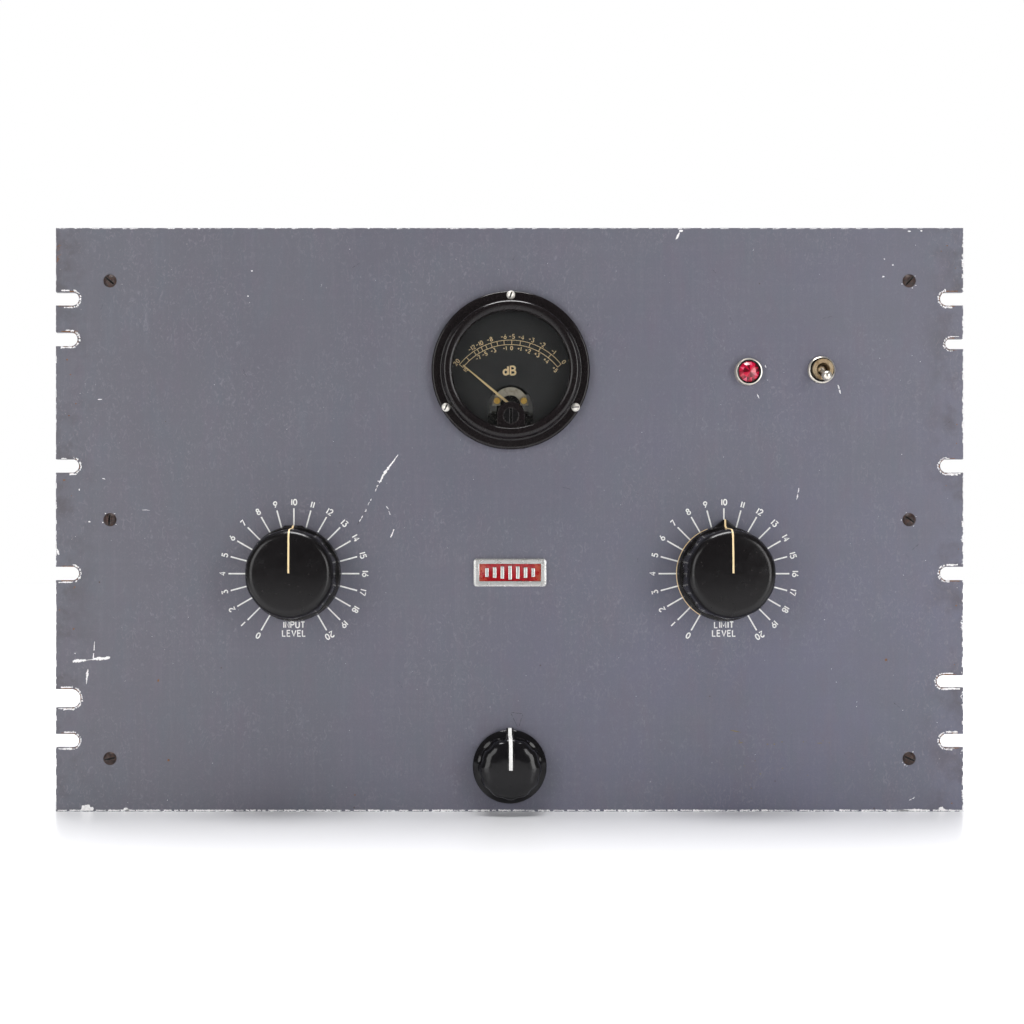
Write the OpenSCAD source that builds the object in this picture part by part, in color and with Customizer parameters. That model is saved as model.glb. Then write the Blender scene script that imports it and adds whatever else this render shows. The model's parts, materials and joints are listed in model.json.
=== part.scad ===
// Seven-unit rack compressor: a flat front panel with a level meter, two large stepped
// dials, a small selector, a toggle and a pilot lamp, over a deep pan-shaped chassis
// that carries transformers, tubes and capacitors on its rear face.
// Millimetres, +Z up, front towards -Y, origin at the centre of the panel's back face.

/* [Front panel] */
// Width of the rack panel
panel_w = 482.6; // [478:0.1:486]
// Height of the rack panel, seven units less the fitting gap
panel_h = 310.4; // [306:0.1:316]
// Thickness of the rack panel
panel_t = 3.2; // [2.6:0.1:4]
// Distance between the two columns of rack notches
notch_span = 465.1; // [463:0.1:467]
// Height of the inner rack notches above and below the centre
notch_inner_z = 28.6; // [26:0.1:32]
// Height of the outer rack notches above and below the centre
notch_outer_z = 117.5; // [114:0.1:120]
// Width of a rack notch
notch_w = 7.1; // [6:0.1:8]
// Distance between the two columns of panel screws
screw_span = 425; // [423:0.5:427]
// Height of the outer panel screws above and below the centre
screw_rise = 127; // [120:0.5:132]

/* [Meter] */
// Distance of the meter's centre right of the panel's centre
meter_x = 0.5; // [-3:0.5:3]
// Height of the meter's centre above the panel's centre
meter_z = 79.2; // [76:0.1:82]
// Radius of the meter's flange
meter_r = 42; // [41.5:0.1:44]
// Radius of the ring of meter screws
meter_screw_ring = 39.6; // [39.2:0.1:40]
// Radius of the opening over the dial
meter_window_r = 30.8; // [30:0.1:31.2]
// Distance of the needle's pivot below the meter's centre
needle_drop = 18.2; // [17.5:0.1:19]
// Length of the needle from its pivot
needle_l = 33; // [30:0.5:34]
// Angle of the resting needle left of upright
needle_rest = 50; // [40:1:52]
// Distance of the zero adjuster below the meter's centre
zero_drop = 24.5; // [24:0.1:25]

/* [Large dials] */
// Distance of the gain dial left of the panel's centre
gain_x = 114.7; // [110:0.1:120]
// Distance of the limiter dial right of the panel's centre
limiter_x = 114; // [110:0.1:120]
// Distance of both dials below the panel's centre
dial_drop = 28.7; // [24:0.1:34]
// Radius of a large knob's skirt
knob_skirt_r = 25.2; // [24.8:0.1:26]
// Radius of a large knob's grip over its ridges
knob_grip_r = 24.2; // [23:0.1:24.4]
// Height of a large knob's face above the panel
knob_h = 25.5; // [22:0.5:30]
// Number of flutes round a large knob
knob_flutes = 10; // [8:1:12]
// Length of the gain knob's broken nib beyond its skirt
gain_nib = 0.4; // [0.2:0.1:3.5]
// Length of the limiter knob's nib beyond its skirt
limiter_nib = 3.5; // [0.2:0.1:3.5]
// Number of contact studs in a stepped attenuator
step_count = 21; // [11:2:21]
// Angle between two steps
step_angle = 15; // [10:1:15]
// Radius of a stepped attenuator's can
can_r = 27; // [26:0.5:30]

/* [Selector] */
// Distance of the selector below the panel's centre
selector_drop = 131; // [129:0.5:132]
// Radius of the selector knob's skirt
selector_skirt_r = 19.6; // [18.5:0.1:21]
// Radius of the selector knob's grip
selector_grip_r = 16.6; // [15.5:0.1:17.5]
// Height of the selector knob's face above the panel
selector_h = 17; // [15:0.5:19]

/* [Toggle and pilot lamp] */
// Distance of the toggle right of the panel's centre
toggle_x = 165.7; // [160:0.1:170]
// Distance of the pilot lamp right of the panel's centre
pilot_x = 126.7; // [122:0.1:132]
// Height of the toggle above the panel's centre
toggle_z = 79.5; // [74:0.1:84]
// Height of the pilot lamp above the panel's centre
pilot_z = 78.4; // [74:0.1:84]
// Tilt of the resting toggle lever below level
toggle_tilt = 21; // [18:1:21]

/* [Badge] */
// Width of the badge
badge_w = 38.5; // [36:0.1:42]
// Height of the badge
badge_h = 14.8; // [14:0.1:16]
// Number of raised bars in the badge
badge_bars = 7; // [5:2:9]

/* [Chassis] */
// Width of the chassis pan between its flanges
pan_w = 410; // [408:1:412]
// Height of the chassis pan
pan_h = 300; // [298:1:302]
// Depth of the chassis pan behind the panel
pan_d = 63.5; // [62:0.5:68]
// Thickness of the chassis sheet
sheet = 1.6; // [1.2:0.1:2]
// Width of each flange that meets the panel
flange_w = 14; // [13:0.5:15]

/* [Transformers] */
// Width of the power transformer's core
power_core_w = 84; // [76:1:88]
// Height of the power transformer above the chassis
power_core_h = 88; // [80:1:96]
// Thickness of the power transformer's lamination stack
power_stack = 44; // [38:1:48]
// Height of the output transformer's can above the chassis
output_can_h = 84; // [76:1:92]
// Height of the two small transformer cans above the chassis
small_can_h = 66; // [58:1:74]

/* [Tubes and capacitors] */
// Height of a tube's base above the chassis
tube_base_h = 22; // [20:0.5:24]
// Radius of a tube's base
tube_base_r = 16.2; // [15.5:0.1:17]
// Radius of a glass envelope
bulb_r = 14.6; // [13.5:0.1:15.5]
// Height of a metal tube above the chassis
metal_tube_h = 60; // [54:1:66]
// Radius of a filter capacitor's can
filter_r = 17.5; // [16:0.1:18]
// Height of a filter capacitor above the chassis
filter_h = 78; // [70:1:86]

/* [Hidden] */
$fn = 72;

// Gap between two pieces that touch or turn against each other
gap = 0.05;
// Shaft and bushing of every rotary control
shaft_r = 3.175;
bushing_r = 4.7;
bushing_l = 5.5;
control_nut_h = 2.4;
knob_lift = 1;
knob_screw_z = 12;
selector_screw_z = 8;

gain_at = [-gain_x, -dial_drop];
limiter_at = [limiter_x, -dial_drop];
selector_at = [0, -selector_drop];
toggle_at = [toggle_x, toggle_z];
pilot_at = [pilot_x, pilot_z];
meter_at = [meter_x, meter_z];
badge_at = [0.2, -28.1];
badge_pins_at = [for (x = [-1, 1]) badge_at + [x * badge_w * 0.36, 0]];
badge_pin_r = 1.1;

// Each later hand-cut notch: side, height, width and depth
cut_notches = [[-1, 96, 7.4, 11.5], [-1, -95, 9.8, 13], [1, 93.5, 5.5, 9.5], [1, -86, 6.4, 14]];

// Each panel screw: side, row and angle of its slot
panel_screw_spots = [[-1, 1, -40], [-1, 0, 86], [-1, -1, 12], [1, 1, 48], [1, 0, -35], [1, -1, -25]];
panel_screw_r = 1.75;
panel_head_r = 3.55;

meter_screw_angles = [90, 210, 330];
meter_screw_r = 1.3;
barrel_r = 35;
cavity_r = 33;
barrel_l = 28;
flange_t = 4;
glass_z = 3.4;
glass_t = 2;
dial_z = -1.8;
dial_t = 0.8;
arch_r = 11.9;
arch_drop = 19.4;
arch_foot = 28.6;
adjuster_r = 4.1;
boss_r = 7.4;
meter_terminal_spots = [[-15, 14], [15, 14]];
meter_stud_r = 2;

stud_ring_r = 18;
stud_rise = 0.8;
can_l = 37;
can_wall = 1.6;
plate_t = 2.4;

wafer_r = 14;
wafer_z = -20;
wafer_t = 1.6;
rotor_r = 6.2;
tie_rod_x = 10.5;
tie_rod_r = 1.3;

toggle_tip_r = 2.65;
toggle_lever_l = 12.3;
toggle_bushing_r = 5.5;
toggle_bushing_l = 4.6;
toggle_bore_r = 2.9;
toggle_plate_z = -panel_t - 4.2;
toggle_plate = [17, 30, 1.4];

jewel_r = 5.65;
pilot_tube_r = 6.3;

// Rear face layout, as positions right of and above the panel's centre
metal_tube_spots = [[-112, 100], [-66, 100], [-20, 100], [26, 100]];
glass_tube_spots = [[-112, 34], [-66, 34], [-20, 34], [26, 34], [-84, -42], [-34, -42]];
rectifier_spot = [92, -50];
filter_spots = [[76, 104], [76, 57], [76, 10]];
power_at = [150, 80];
choke_at = [158, -28];
output_at = [-158, -60];
small_can_spots = [[-168, 100], [-168, 26]];
balance_at = [22, -44];
fuse_at = [176, -104];
audio_strip_at = [-104, -116];
power_strip_at = [86, -116];
audio_ways = 12;
power_ways = 6;
strip_pitch = 11;
strip_h = 24;
strip_end = 8;
strip_base_t = 5;
strip_screw_inset = 4;
strip_row = 6;
way_screw_r = 1.5;
bulb_h = 86;
rectifier_bulb_r = 17;
rectifier_bulb_h = 100;
socket_r = 14.2;
socket_h = 12;
socket_top = 3;
saddle_r = 19;
saddle_t = 1.2;
key_r = 3.9;
small_can_size = [46, 52];
output_can_size = [64, 62];
choke_size = [58, 44, 48];
power_cover_t = 20;
foot_hole_r = 2.2;
capacitor_wafer_t = 1.6;
fuse_r = 6.8;

board_at = [-10, -88];
board_size = [176, 34];
board_y = 49;
board_parts_count = 12;

glass_tubes = concat([for (p = glass_tube_spots) [p, bulb_r, bulb_h]],
    [[rectifier_spot, rectifier_bulb_r, rectifier_bulb_h]]);
all_tube_spots = concat(metal_tube_spots, [for (t = glass_tubes) t[0]]);

// Local frame on the panel: z = 0 is the front face and z grows towards the front
module on_panel(at) {
    translate([at[0], -panel_t, at[1]]) rotate([90, 0, 0]) children();
}

// Local frame on the chassis: z = 0 is the rear face and z grows towards the rear
module on_chassis(at) {
    translate([at[0], pan_d, at[1]]) rotate([90, 0, 180]) children();
}

module at_angle(angle, radius) {
    rotate(angle) translate([radius, 0]) children();
}

// Points along an arc, for outlines
function arc(cx, cy, r, from, to, steps) =
    [for (i = [0:steps]) let (a = from + (to - from) * i / steps) [cx + r * cos(a), cy + r * sin(a)]];

module rounded_rect(w, h, r) {
    square([w - 2 * r, h], center = true);
    square([w, h - 2 * r], center = true);
    for (x = [-1, 1], y = [-1, 1]) {
        translate([x * (w / 2 - r), y * (h / 2 - r)]) circle(r);
    }
}

module tube_ring(outer, inner, h) {
    difference() {
        cylinder(r = outer, h = h);
        translate([0, 0, -1]) cylinder(r = inner, h = h + 2);
    }
}

// Domed slotted screw head standing on z = 0
module slotted_head(r, h, angle) {
    ball = (r * r + h * h) / (2 * h);
    slot_w = r * 0.3;
    difference() {
        intersection() {
            translate([0, 0, h - ball]) sphere(ball);
            cylinder(r = r + 1, h = h);
        }
        rotate(angle) translate([-r, -slot_w / 2, h * 0.45]) cube([2 * r, slot_w, h]);
    }
}

module slotted_screw(head_r, head_h, r, l, angle) {
    slotted_head(head_r, head_h, angle);
    translate([0, 0, -l]) cylinder(r = r, h = l + 0.2);
}

module hex_nut(flats, h, bore_r) {
    difference() {
        cylinder(d = flats / cos(30), h = h, $fn = 6);
        translate([0, 0, -1]) cylinder(r = bore_r, h = h + 2);
    }
}

// ---- Front panel ----

module notch_2d(side, z, width, depth) {
    end_x = panel_w / 2 - depth + width / 2;
    mirror([side < 0 ? 1 : 0, 0]) {
        translate([end_x, z]) circle(d = width);
        translate([end_x, z - width / 2]) square([depth, width]);
    }
}

module rack_notches_2d() {
    depth = (panel_w - notch_span + notch_w) / 2;
    for (side = [-1, 1], z = [notch_inner_z, notch_outer_z]) {
        notch_2d(side, z, notch_w, depth);
        notch_2d(side, -z, notch_w, depth);
    }
    for (n = cut_notches) notch_2d(n[0], n[1], n[2], n[3]);
}

module panel_holes_2d() {
    for (s = panel_screw_spots) {
        translate([s[0] * screw_span / 2, s[1] * screw_rise]) circle(r = panel_screw_r + 0.2);
    }
    translate(meter_at) {
        circle(r = barrel_r + 0.4);
        for (a = meter_screw_angles) at_angle(a, meter_screw_ring) circle(r = meter_screw_r + 0.2);
    }
    for (at = [gain_at, limiter_at, selector_at]) translate(at) circle(r = bushing_r + 0.1);
    translate(toggle_at) circle(r = toggle_bushing_r + 0.2);
    translate(pilot_at) circle(r = pilot_tube_r + 0.2);
    for (at = badge_pins_at) translate(at) circle(r = badge_pin_r + 0.2);
}

module front_panel() {
    color("slategray") on_panel([0, 0]) translate([0, 0, -panel_t]) linear_extrude(panel_t) difference() {
        square([panel_w, panel_h], center = true);
        rack_notches_2d();
        panel_holes_2d();
    }
}

module panel_screws() {
    head_h = 2;
    shank_l = 10;
    for (s = panel_screw_spots) {
        color("sienna") on_panel([s[0] * screw_span / 2, s[1] * screw_rise])
            slotted_screw(panel_head_r, head_h, panel_screw_r, shank_l, s[2]);
    }
}

module panel_nuts() {
    nut_h = 2.8;
    nut_flats = 7.9;
    for (s = panel_screw_spots) {
        color("silver") on_panel([s[0] * screw_span / 2, s[1] * screw_rise])
            translate([0, 0, -panel_t - sheet - nut_h]) hex_nut(nut_flats, nut_h, panel_screw_r + gap);
    }
}

// ---- Badge ----

badge_floor = 0.7;
badge_rim = 2.4;
badge_step = 0.6;
badge_corner_r = 1.7;
badge_enamel_t = 0.9;
badge_field = [badge_w - 5.7, badge_h - 5.6];

// A row of upright bars, tallest in the middle
module badge_bars_2d(grow) {
    pitch = badge_field[0] / (badge_bars + 1);
    for (i = [0:badge_bars - 1]) {
        from_middle = abs(i - (badge_bars - 1) / 2);
        bar_h = badge_field[1] * (0.8 - 0.1 * from_middle);
        translate([(i - (badge_bars - 1) / 2) * pitch, 0])
            square([pitch * 0.42 + grow, bar_h + grow], center = true);
    }
}

module badge_frame() {
    color("silver") on_panel(badge_at) {
        linear_extrude(badge_floor) rounded_rect(badge_w, badge_h, badge_corner_r);
        difference() {
            union() {
                linear_extrude(badge_rim / 2) rounded_rect(badge_w, badge_h, badge_corner_r);
                linear_extrude(badge_rim)
                    rounded_rect(badge_w - 2 * badge_step, badge_h - 2 * badge_step, badge_corner_r - 0.4);
            }
            translate([0, 0, badge_floor]) linear_extrude(badge_rim) square(badge_field, center = true);
        }
        linear_extrude(badge_rim - 0.2) badge_bars_2d(0);
    }
    for (at = badge_pins_at) {
        color("silver") on_panel(at) translate([0, 0, -panel_t - 3])
            cylinder(r = badge_pin_r, h = panel_t + 3.2);
    }
}

module badge_enamel() {
    color("firebrick") on_panel(badge_at) translate([0, 0, badge_floor])
        linear_extrude(badge_enamel_t) difference() {
            square(badge_field - [gap, gap], center = true);
            badge_bars_2d(gap);
        }
}

// ---- Meter ----

meter_profile = concat([[cavity_r, -barrel_l], [barrel_r, -barrel_l], [barrel_r, 0], [meter_r, 0]],
    arc(meter_r - 1.2, flange_t - 1.2, 1.2, 0, 90, 4), [[36.6, flange_t]],
    arc(34.2, 7, 2.2, -10, 110, 6), arc(32.9, 7.2, 2.1, 130, 180, 3),
    [[meter_window_r, glass_z + glass_t], [cavity_r, glass_z + glass_t]]);

// Boss round the zero adjuster, run down into the window's rim
module zero_boss_2d(r) {
    run = 12;
    intersection() {
        circle(r = cavity_r + 0.5);
        translate([0, -zero_drop]) union() {
            circle(r = r);
            translate([-r, -run]) square([2 * r, run]);
        }
    }
}

module meter_case() {
    boss_h = 3.6;
    color([0.16, 0.13, 0.12]) on_panel(meter_at) difference() {
        union() {
            rotate_extrude() polygon(meter_profile);
            translate([0, 0, glass_z]) linear_extrude(boss_h) zero_boss_2d(boss_r);
        }
        for (a = meter_screw_angles) {
            rotate(a) translate([meter_screw_ring, 0, -1])
                cylinder(r = meter_screw_r + 0.2, h = flange_t + 2);
        }
        translate([0, -zero_drop, glass_z - 1]) cylinder(r = adjuster_r + gap, h = 6);
    }
}

module meter_glass() {
    color("lightcyan", 0.35) on_panel(meter_at) translate([0, 0, glass_z])
        linear_extrude(glass_t - gap) difference() {
            circle(r = cavity_r - gap);
            zero_boss_2d(boss_r + 0.2);
        }
}

module meter_dial() {
    color([0.1, 0.1, 0.1]) on_panel(meter_at) translate([0, 0, dial_z])
        linear_extrude(dial_t) difference() {
            circle(r = cavity_r - 0.6);
            translate([0, -arch_drop]) circle(r = arch_r);
            translate([-arch_r, -arch_foot]) square([2 * arch_r, arch_foot - arch_drop]);
        }
}

// Tapered pointer with its hub, pivot shaft, tail and balance weight
module meter_needle() {
    pointer_t = 0.6;
    pointer_z = 0.2;
    root_w = 1.3;
    mid_w = 1.1;
    tip_w = 0.44;
    mid_l = 14;
    tail_l = 4.6;
    shaft_l = 14.6;
    shaft_z = -13;
    color("wheat") on_panel(meter_at) translate([0, -needle_drop, 0]) rotate(needle_rest) {
        translate([0, 0, shaft_z]) cylinder(r = 0.6, h = shaft_l, $fn = 24);
        translate([0, 0, -4]) cylinder(r = 1.7, h = 5.2, $fn = 32);
        translate([0, 0, pointer_z]) linear_extrude(pointer_t) {
            polygon([[-root_w / 2, 0], [-mid_w / 2, mid_l], [-tip_w / 2, needle_l],
                [tip_w / 2, needle_l], [mid_w / 2, mid_l], [root_w / 2, 0]]);
            translate([-0.5, -tail_l]) square([1, tail_l]);
        }
        translate([0, -tail_l, 0]) cylinder(r = 1.1, h = 1, $fn = 24);
    }
}

// Half ring over the pivot, on two legs
module meter_bridge() {
    outer_r = 9.6;
    inner_r = 5.4;
    leg_ring = 7.5;
    color("tan") on_panel(meter_at) translate([0, -needle_drop, 0]) {
        translate([0, 0, -2.2]) linear_extrude(1) difference() {
            circle(r = outer_r);
            circle(r = inner_r);
            translate([-12, -14]) square([24, 14]);
        }
        for (a = [18, 162]) {
            rotate(a) translate([leg_ring, 0, -6]) cylinder(r = 1.3, h = 4, $fn = 24);
            rotate(a) translate([leg_ring, 0, -2]) cylinder(r = 1.7, h = 1.6, $fn = 24);
        }
    }
}

// Horseshoe magnet with its two pole pieces, the core and the two dial posts
module meter_magnet() {
    magnet_z = -18;
    magnet_t = 12;
    magnet_r = 19;
    magnet_foot = 22;
    mouth_r = 10;
    pole = [3.6, 9, magnet_t];
    pole_x = 9;
    post_x = 15;
    color("dimgray") on_panel(meter_at) {
        translate([0, 0, magnet_z]) linear_extrude(magnet_t) difference() {
            union() {
                circle(r = magnet_r);
                translate([-magnet_r, -magnet_foot]) square([2 * magnet_r, magnet_foot]);
            }
            circle(r = mouth_r);
            translate([-mouth_r, -30]) square([2 * mouth_r, 30]);
        }
        for (x = [-1, 1]) {
            translate([x * pole_x - pole[0] / 2, 1 - magnet_foot, magnet_z]) cube(pole);
            translate([x * post_x, -4, magnet_z + magnet_t])
                cylinder(r = 1.6, h = dial_z - magnet_z - magnet_t, $fn = 24);
        }
    }
}

// Slotted disc in the case with the crank pin that reaches the movement
module meter_zero_adjuster() {
    head_h = 3.8;
    neck_z = 2.2;
    crank_x = 1.1;
    slot_w = 1.2;
    slot_depth = 1.4;
    color([0.08, 0.08, 0.08]) on_panel(meter_at) translate([0, -zero_drop, 0]) difference() {
        union() {
            translate([0, 0, glass_z]) cylinder(r = adjuster_r, h = head_h);
            translate([0, 0, neck_z]) cylinder(r = 1.9, h = 2);
            translate([crank_x, 0, neck_z - 0.8]) cylinder(r = 0.5, h = 1.4, $fn = 24);
        }
        translate([-slot_w / 2, -5, glass_z + head_h - slot_depth]) cube([slot_w, 10, 3]);
    }
}

module meter_base() {
    lid_t = 3;
    collar = [14, 8, 8 - gap];
    color([0.14, 0.12, 0.11]) on_panel(meter_at) difference() {
        union() {
            translate([0, 0, -barrel_l - lid_t]) cylinder(r = barrel_r, h = lid_t - gap);
            translate([0, 0, -barrel_l - gap]) cylinder(r = cavity_r - gap, h = lid_t);
            translate([0, 0, -barrel_l + 2]) tube_ring(collar[0], collar[1], collar[2]);
        }
        for (at = meter_terminal_spots) {
            translate([at[0], at[1], -barrel_l - 4]) cylinder(r = meter_stud_r + gap, h = 12);
        }
    }
}

// Threaded studs, each with one nut inside the case and two outside
module meter_terminals() {
    stud_l = 19;
    nut_d = 8;
    for (at = meter_terminal_spots) {
        color("goldenrod") on_panel(meter_at + at) translate([0, 0, -barrel_l]) {
            translate([0, 0, 5 - stud_l]) cylinder(r = meter_stud_r, h = stud_l, $fn = 32);
            translate([0, 0, 5]) cylinder(d = nut_d, h = 2, $fn = 6);
            for (z = [-6, -10]) translate([0, 0, z]) cylinder(d = nut_d, h = 2.9, $fn = 6);
        }
    }
}

module meter_screws() {
    slots = [70, 62, 2];
    head_r = 2.3;
    head_h = 1.4;
    grip = flange_t + panel_t;
    for (i = [0:2]) {
        a = meter_screw_angles[i];
        color("silver") on_panel(meter_at + meter_screw_ring * [cos(a), sin(a)])
            translate([0, 0, flange_t]) slotted_screw(head_r, head_h, meter_screw_r, grip + 6, slots[i]);
    }
}

module meter_nuts() {
    nut_h = 2.2;
    nut_flats = 6.3;
    for (a = meter_screw_angles) {
        color("silver") on_panel(meter_at + meter_screw_ring * [cos(a), sin(a)])
            translate([0, 0, -panel_t - nut_h]) hex_nut(nut_flats, nut_h, meter_screw_r + gap);
    }
}

// ---- Stepped attenuators and their knobs ----

// Fluted grip outline with wide shallow flutes
module fluted_2d(r, flutes, depth, flute_r) {
    difference() {
        circle(r = r);
        for (i = [0:flutes - 1]) {
            rotate((i + 0.5) * 360 / flutes + 90) translate([r - depth + flute_r, 0]) circle(r = flute_r);
        }
    }
}

// Body of turning that rounds a knob's grip into its face
module knob_envelope(r, top, round_r) {
    rotate_extrude() polygon(concat([[0, 0], [r, 0]],
        arc(r - round_r, top - round_r - 0.6, round_r, 0, 80, 6), [[0, top]]));
}

module knob_bore(bore_depth, recess_r, recess_h) {
    translate([0, 0, -1]) cylinder(r = recess_r, h = recess_h + 1);
    cylinder(r = shaft_r + gap / 2, h = bore_depth);
}

// Fluted knob with a bevelled skirt and a pointed nib that reaches beyond it
module large_knob(at, nib_l) {
    skirt_t = 4.4;
    skirt_edge = 1.6;
    flute_depth = 1.1;
    flute_r = 60;
    line_w = 1;
    nib_t = 2.6;
    nib_w = 15;
    nib_tip_w = 2;
    nib_root = knob_skirt_r - 2;
    nib_full = knob_skirt_r + 3.5;
    nib_end = knob_skirt_r + nib_l;
    nib_end_w = nib_w + (nib_tip_w - nib_w) * (nib_end - nib_root) / (nib_full - nib_root);
    color([0.12, 0.11, 0.12]) on_panel(at) translate([0, 0, knob_lift]) difference() {
        union() {
            rotate_extrude() polygon([[0, 0], [knob_skirt_r, 0], [knob_skirt_r, skirt_edge],
                [knob_grip_r + 0.6, skirt_t], [0, skirt_t]]);
            linear_extrude(nib_t) polygon([[-nib_w / 2, nib_root], [-nib_end_w / 2, nib_end],
                [nib_end_w / 2, nib_end], [nib_w / 2, nib_root]]);
            intersection() {
                linear_extrude(knob_h) fluted_2d(knob_grip_r, knob_flutes, flute_depth, flute_r);
                knob_envelope(knob_grip_r, knob_h - knob_lift, 2.4);
            }
        }
        knob_bore(knob_h - 6, 13, 5);
        translate([0, 0, knob_screw_z]) rotate([90, 0, 0]) cylinder(r = 1.65, h = knob_skirt_r);
        translate([-line_w / 2, 0, knob_h - knob_lift - 0.4]) cube([line_w, knob_grip_r, 2]);
    }
}

// Slotted setscrew that bears on the underside of a shaft
module setscrew(at, r, z, from, to) {
    color("dimgray") on_panel(at) translate([0, 0, z]) rotate([90, 0, 0])
        translate([0, 0, from]) difference() {
            cylinder(r = r, h = to - from, $fn = 32);
            translate([-0.3, -r, to - from - 0.9]) cube([0.6, 2 * r, 2]);
        }
}

// Shaft with its wiper arm and brush
module attenuator_rotor(at) {
    arm_z = -panel_t - 32;
    arm_w = 5;
    brush_r = 1.5;
    brush_gap = 0.1;
    stud_top = -panel_t - can_l + plate_t + stud_rise;
    color("lightsteelblue") on_panel(at) {
        translate([0, 0, -panel_t - can_l + 0.6]) cylinder(r = shaft_r, h = knob_h - 6 + panel_t + can_l);
        translate([0, 0, arm_z]) cylinder(r = 7, h = 3);
        translate([-arm_w / 2, 0, arm_z + 0.8]) cube([arm_w, stud_ring_r + brush_r, 1.4]);
        translate([0, stud_ring_r, stud_top + brush_gap])
            cylinder(r = brush_r, h = arm_z + 1 - stud_top, $fn = 32);
    }
}

// Insulating plate that closes the can, with its ring of contact studs and solder pins
module attenuator_contact_plate(at) {
    pin_l = 5;
    color("peru") on_panel(at) translate([0, 0, -panel_t - can_l]) {
        difference() {
            cylinder(r = can_r - can_wall - gap, h = plate_t);
            translate([0, 0, -1]) cylinder(r = shaft_r + gap, h = plate_t + 2);
        }
        for (i = [0:step_count - 1]) {
            rotate(90 + (i - (step_count - 1) / 2) * step_angle) translate([stud_ring_r, 0, -pin_l])
                cylinder(r = 1.2, h = pin_l + plate_t + stud_rise, $fn = 24);
        }
    }
}

module attenuator_can(at) {
    color("gainsboro") on_panel(at) difference() {
        union() {
            translate([0, 0, -panel_t - can_l]) cylinder(r = can_r, h = can_l);
            translate([0, 0, -panel_t - 1]) cylinder(r = bushing_r, h = panel_t + 1 + bushing_l);
        }
        translate([0, 0, -panel_t - can_l - 1]) cylinder(r = can_r - can_wall, h = can_l + 1 - can_wall);
        translate([0, 0, -20]) cylinder(r = shaft_r + gap, h = 40);
    }
}

module gain_knob() large_knob(gain_at, gain_nib);
module gain_setscrew() setscrew(gain_at, 1.6, knob_lift + knob_screw_z, shaft_r + gap, 13);
module gain_rotor() attenuator_rotor(gain_at);
module gain_contact_plate() attenuator_contact_plate(gain_at);
module gain_can() attenuator_can(gain_at);
module limiter_knob() large_knob(limiter_at, limiter_nib);
module limiter_setscrew() setscrew(limiter_at, 1.6, knob_lift + knob_screw_z, shaft_r + gap, 13);
module limiter_rotor() attenuator_rotor(limiter_at);
module limiter_contact_plate() attenuator_contact_plate(limiter_at);
module limiter_can() attenuator_can(limiter_at);

// ---- Selector ----

// Smaller domed knob with a raised rib to its pointer side
module selector_knob() {
    skirt_t = 3.6;
    skirt_edge = 1.4;
    rib_w = 3.8;
    color([0.07, 0.07, 0.08]) on_panel(selector_at) translate([0, 0, knob_lift]) difference() {
        union() {
            rotate_extrude() polygon([[0, 0], [selector_skirt_r, 0], [selector_skirt_r, skirt_edge],
                [selector_grip_r + 0.5, skirt_t], [0, skirt_t]]);
            translate([-rib_w / 2, 0, 0]) cube([rib_w, selector_skirt_r + 0.6, skirt_t + 0.4]);
            intersection() {
                linear_extrude(selector_h) fluted_2d(selector_grip_r, 12, 0.6, 9);
                knob_envelope(selector_grip_r, selector_h - knob_lift, 3.4);
            }
        }
        knob_bore(selector_h - 4, 9.5, 5);
        translate([0, 0, selector_screw_z]) rotate([90, 0, 0]) cylinder(r = 1.35, h = selector_skirt_r);
    }
}

module selector_setscrew() setscrew(selector_at, 1.3, knob_lift + selector_screw_z, shaft_r + gap, 10);

module selector_rotor() {
    tail = 26;
    color("lightsteelblue") on_panel(selector_at) {
        translate([0, 0, -tail]) cylinder(r = shaft_r, h = tail + selector_h - 4);
        translate([0, 0, wafer_z - 0.2]) cylinder(r = rotor_r, h = wafer_t + 0.4);
    }
}

module selector_wafer() {
    clips = 12;
    clip = [4.5, 1.4, 0.7];
    color("burlywood") on_panel(selector_at) translate([0, 0, wafer_z]) {
        difference() {
            cylinder(r = wafer_r, h = wafer_t);
            translate([0, 0, -1]) cylinder(r = rotor_r + gap, h = wafer_t + 2);
            for (x = [-1, 1]) {
                translate([x * tie_rod_x, 0, -1]) cylinder(r = tie_rod_r + gap, h = wafer_t + 2, $fn = 24);
            }
        }
        for (i = [0:clips - 1]) {
            rotate((i + 0.5) * 360 / clips)
                translate([wafer_r - clip[0], -clip[1] / 2, wafer_t]) cube(clip);
        }
    }
}

module selector_frame() {
    plate = [26, 24, 1.4];
    color("silver") on_panel(selector_at) difference() {
        union() {
            translate([-plate[0] / 2, -plate[1] / 2, -panel_t - plate[2]]) cube(plate);
            translate([0, 0, -panel_t - 1]) cylinder(r = bushing_r, h = panel_t + 1 + bushing_l);
            for (x = [-1, 1]) translate([x * tie_rod_x, 0, -25]) cylinder(r = tie_rod_r, h = 21, $fn = 24);
        }
        translate([0, 0, -30]) cylinder(r = shaft_r + gap, h = 60);
    }
}

module control_nuts() {
    nut_flats = 14;
    for (at = [gain_at, limiter_at, selector_at]) {
        color("silver") on_panel(at) hex_nut(nut_flats, control_nut_h, bushing_r + gap);
    }
}

// ---- Toggle ----

module toggle_case() {
    size = [toggle_plate[0], toggle_plate[1], 24];
    well = 16;
    lug = [6, 2, 5.1];
    color([0.1, 0.09, 0.09]) on_panel(toggle_at) difference() {
        translate([-size[0] / 2, -size[1] / 2, toggle_plate_z - size[2]]) cube(size);
        translate([0, 0, toggle_plate_z - well]) cylinder(r = 7, h = well + 4);
    }
    for (z = [-8, 8]) {
        color("goldenrod") on_panel(toggle_at)
            translate([-lug[0] / 2, z - lug[1] / 2, toggle_plate_z - size[2] - lug[2] + 0.1]) cube(lug);
    }
}

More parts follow.
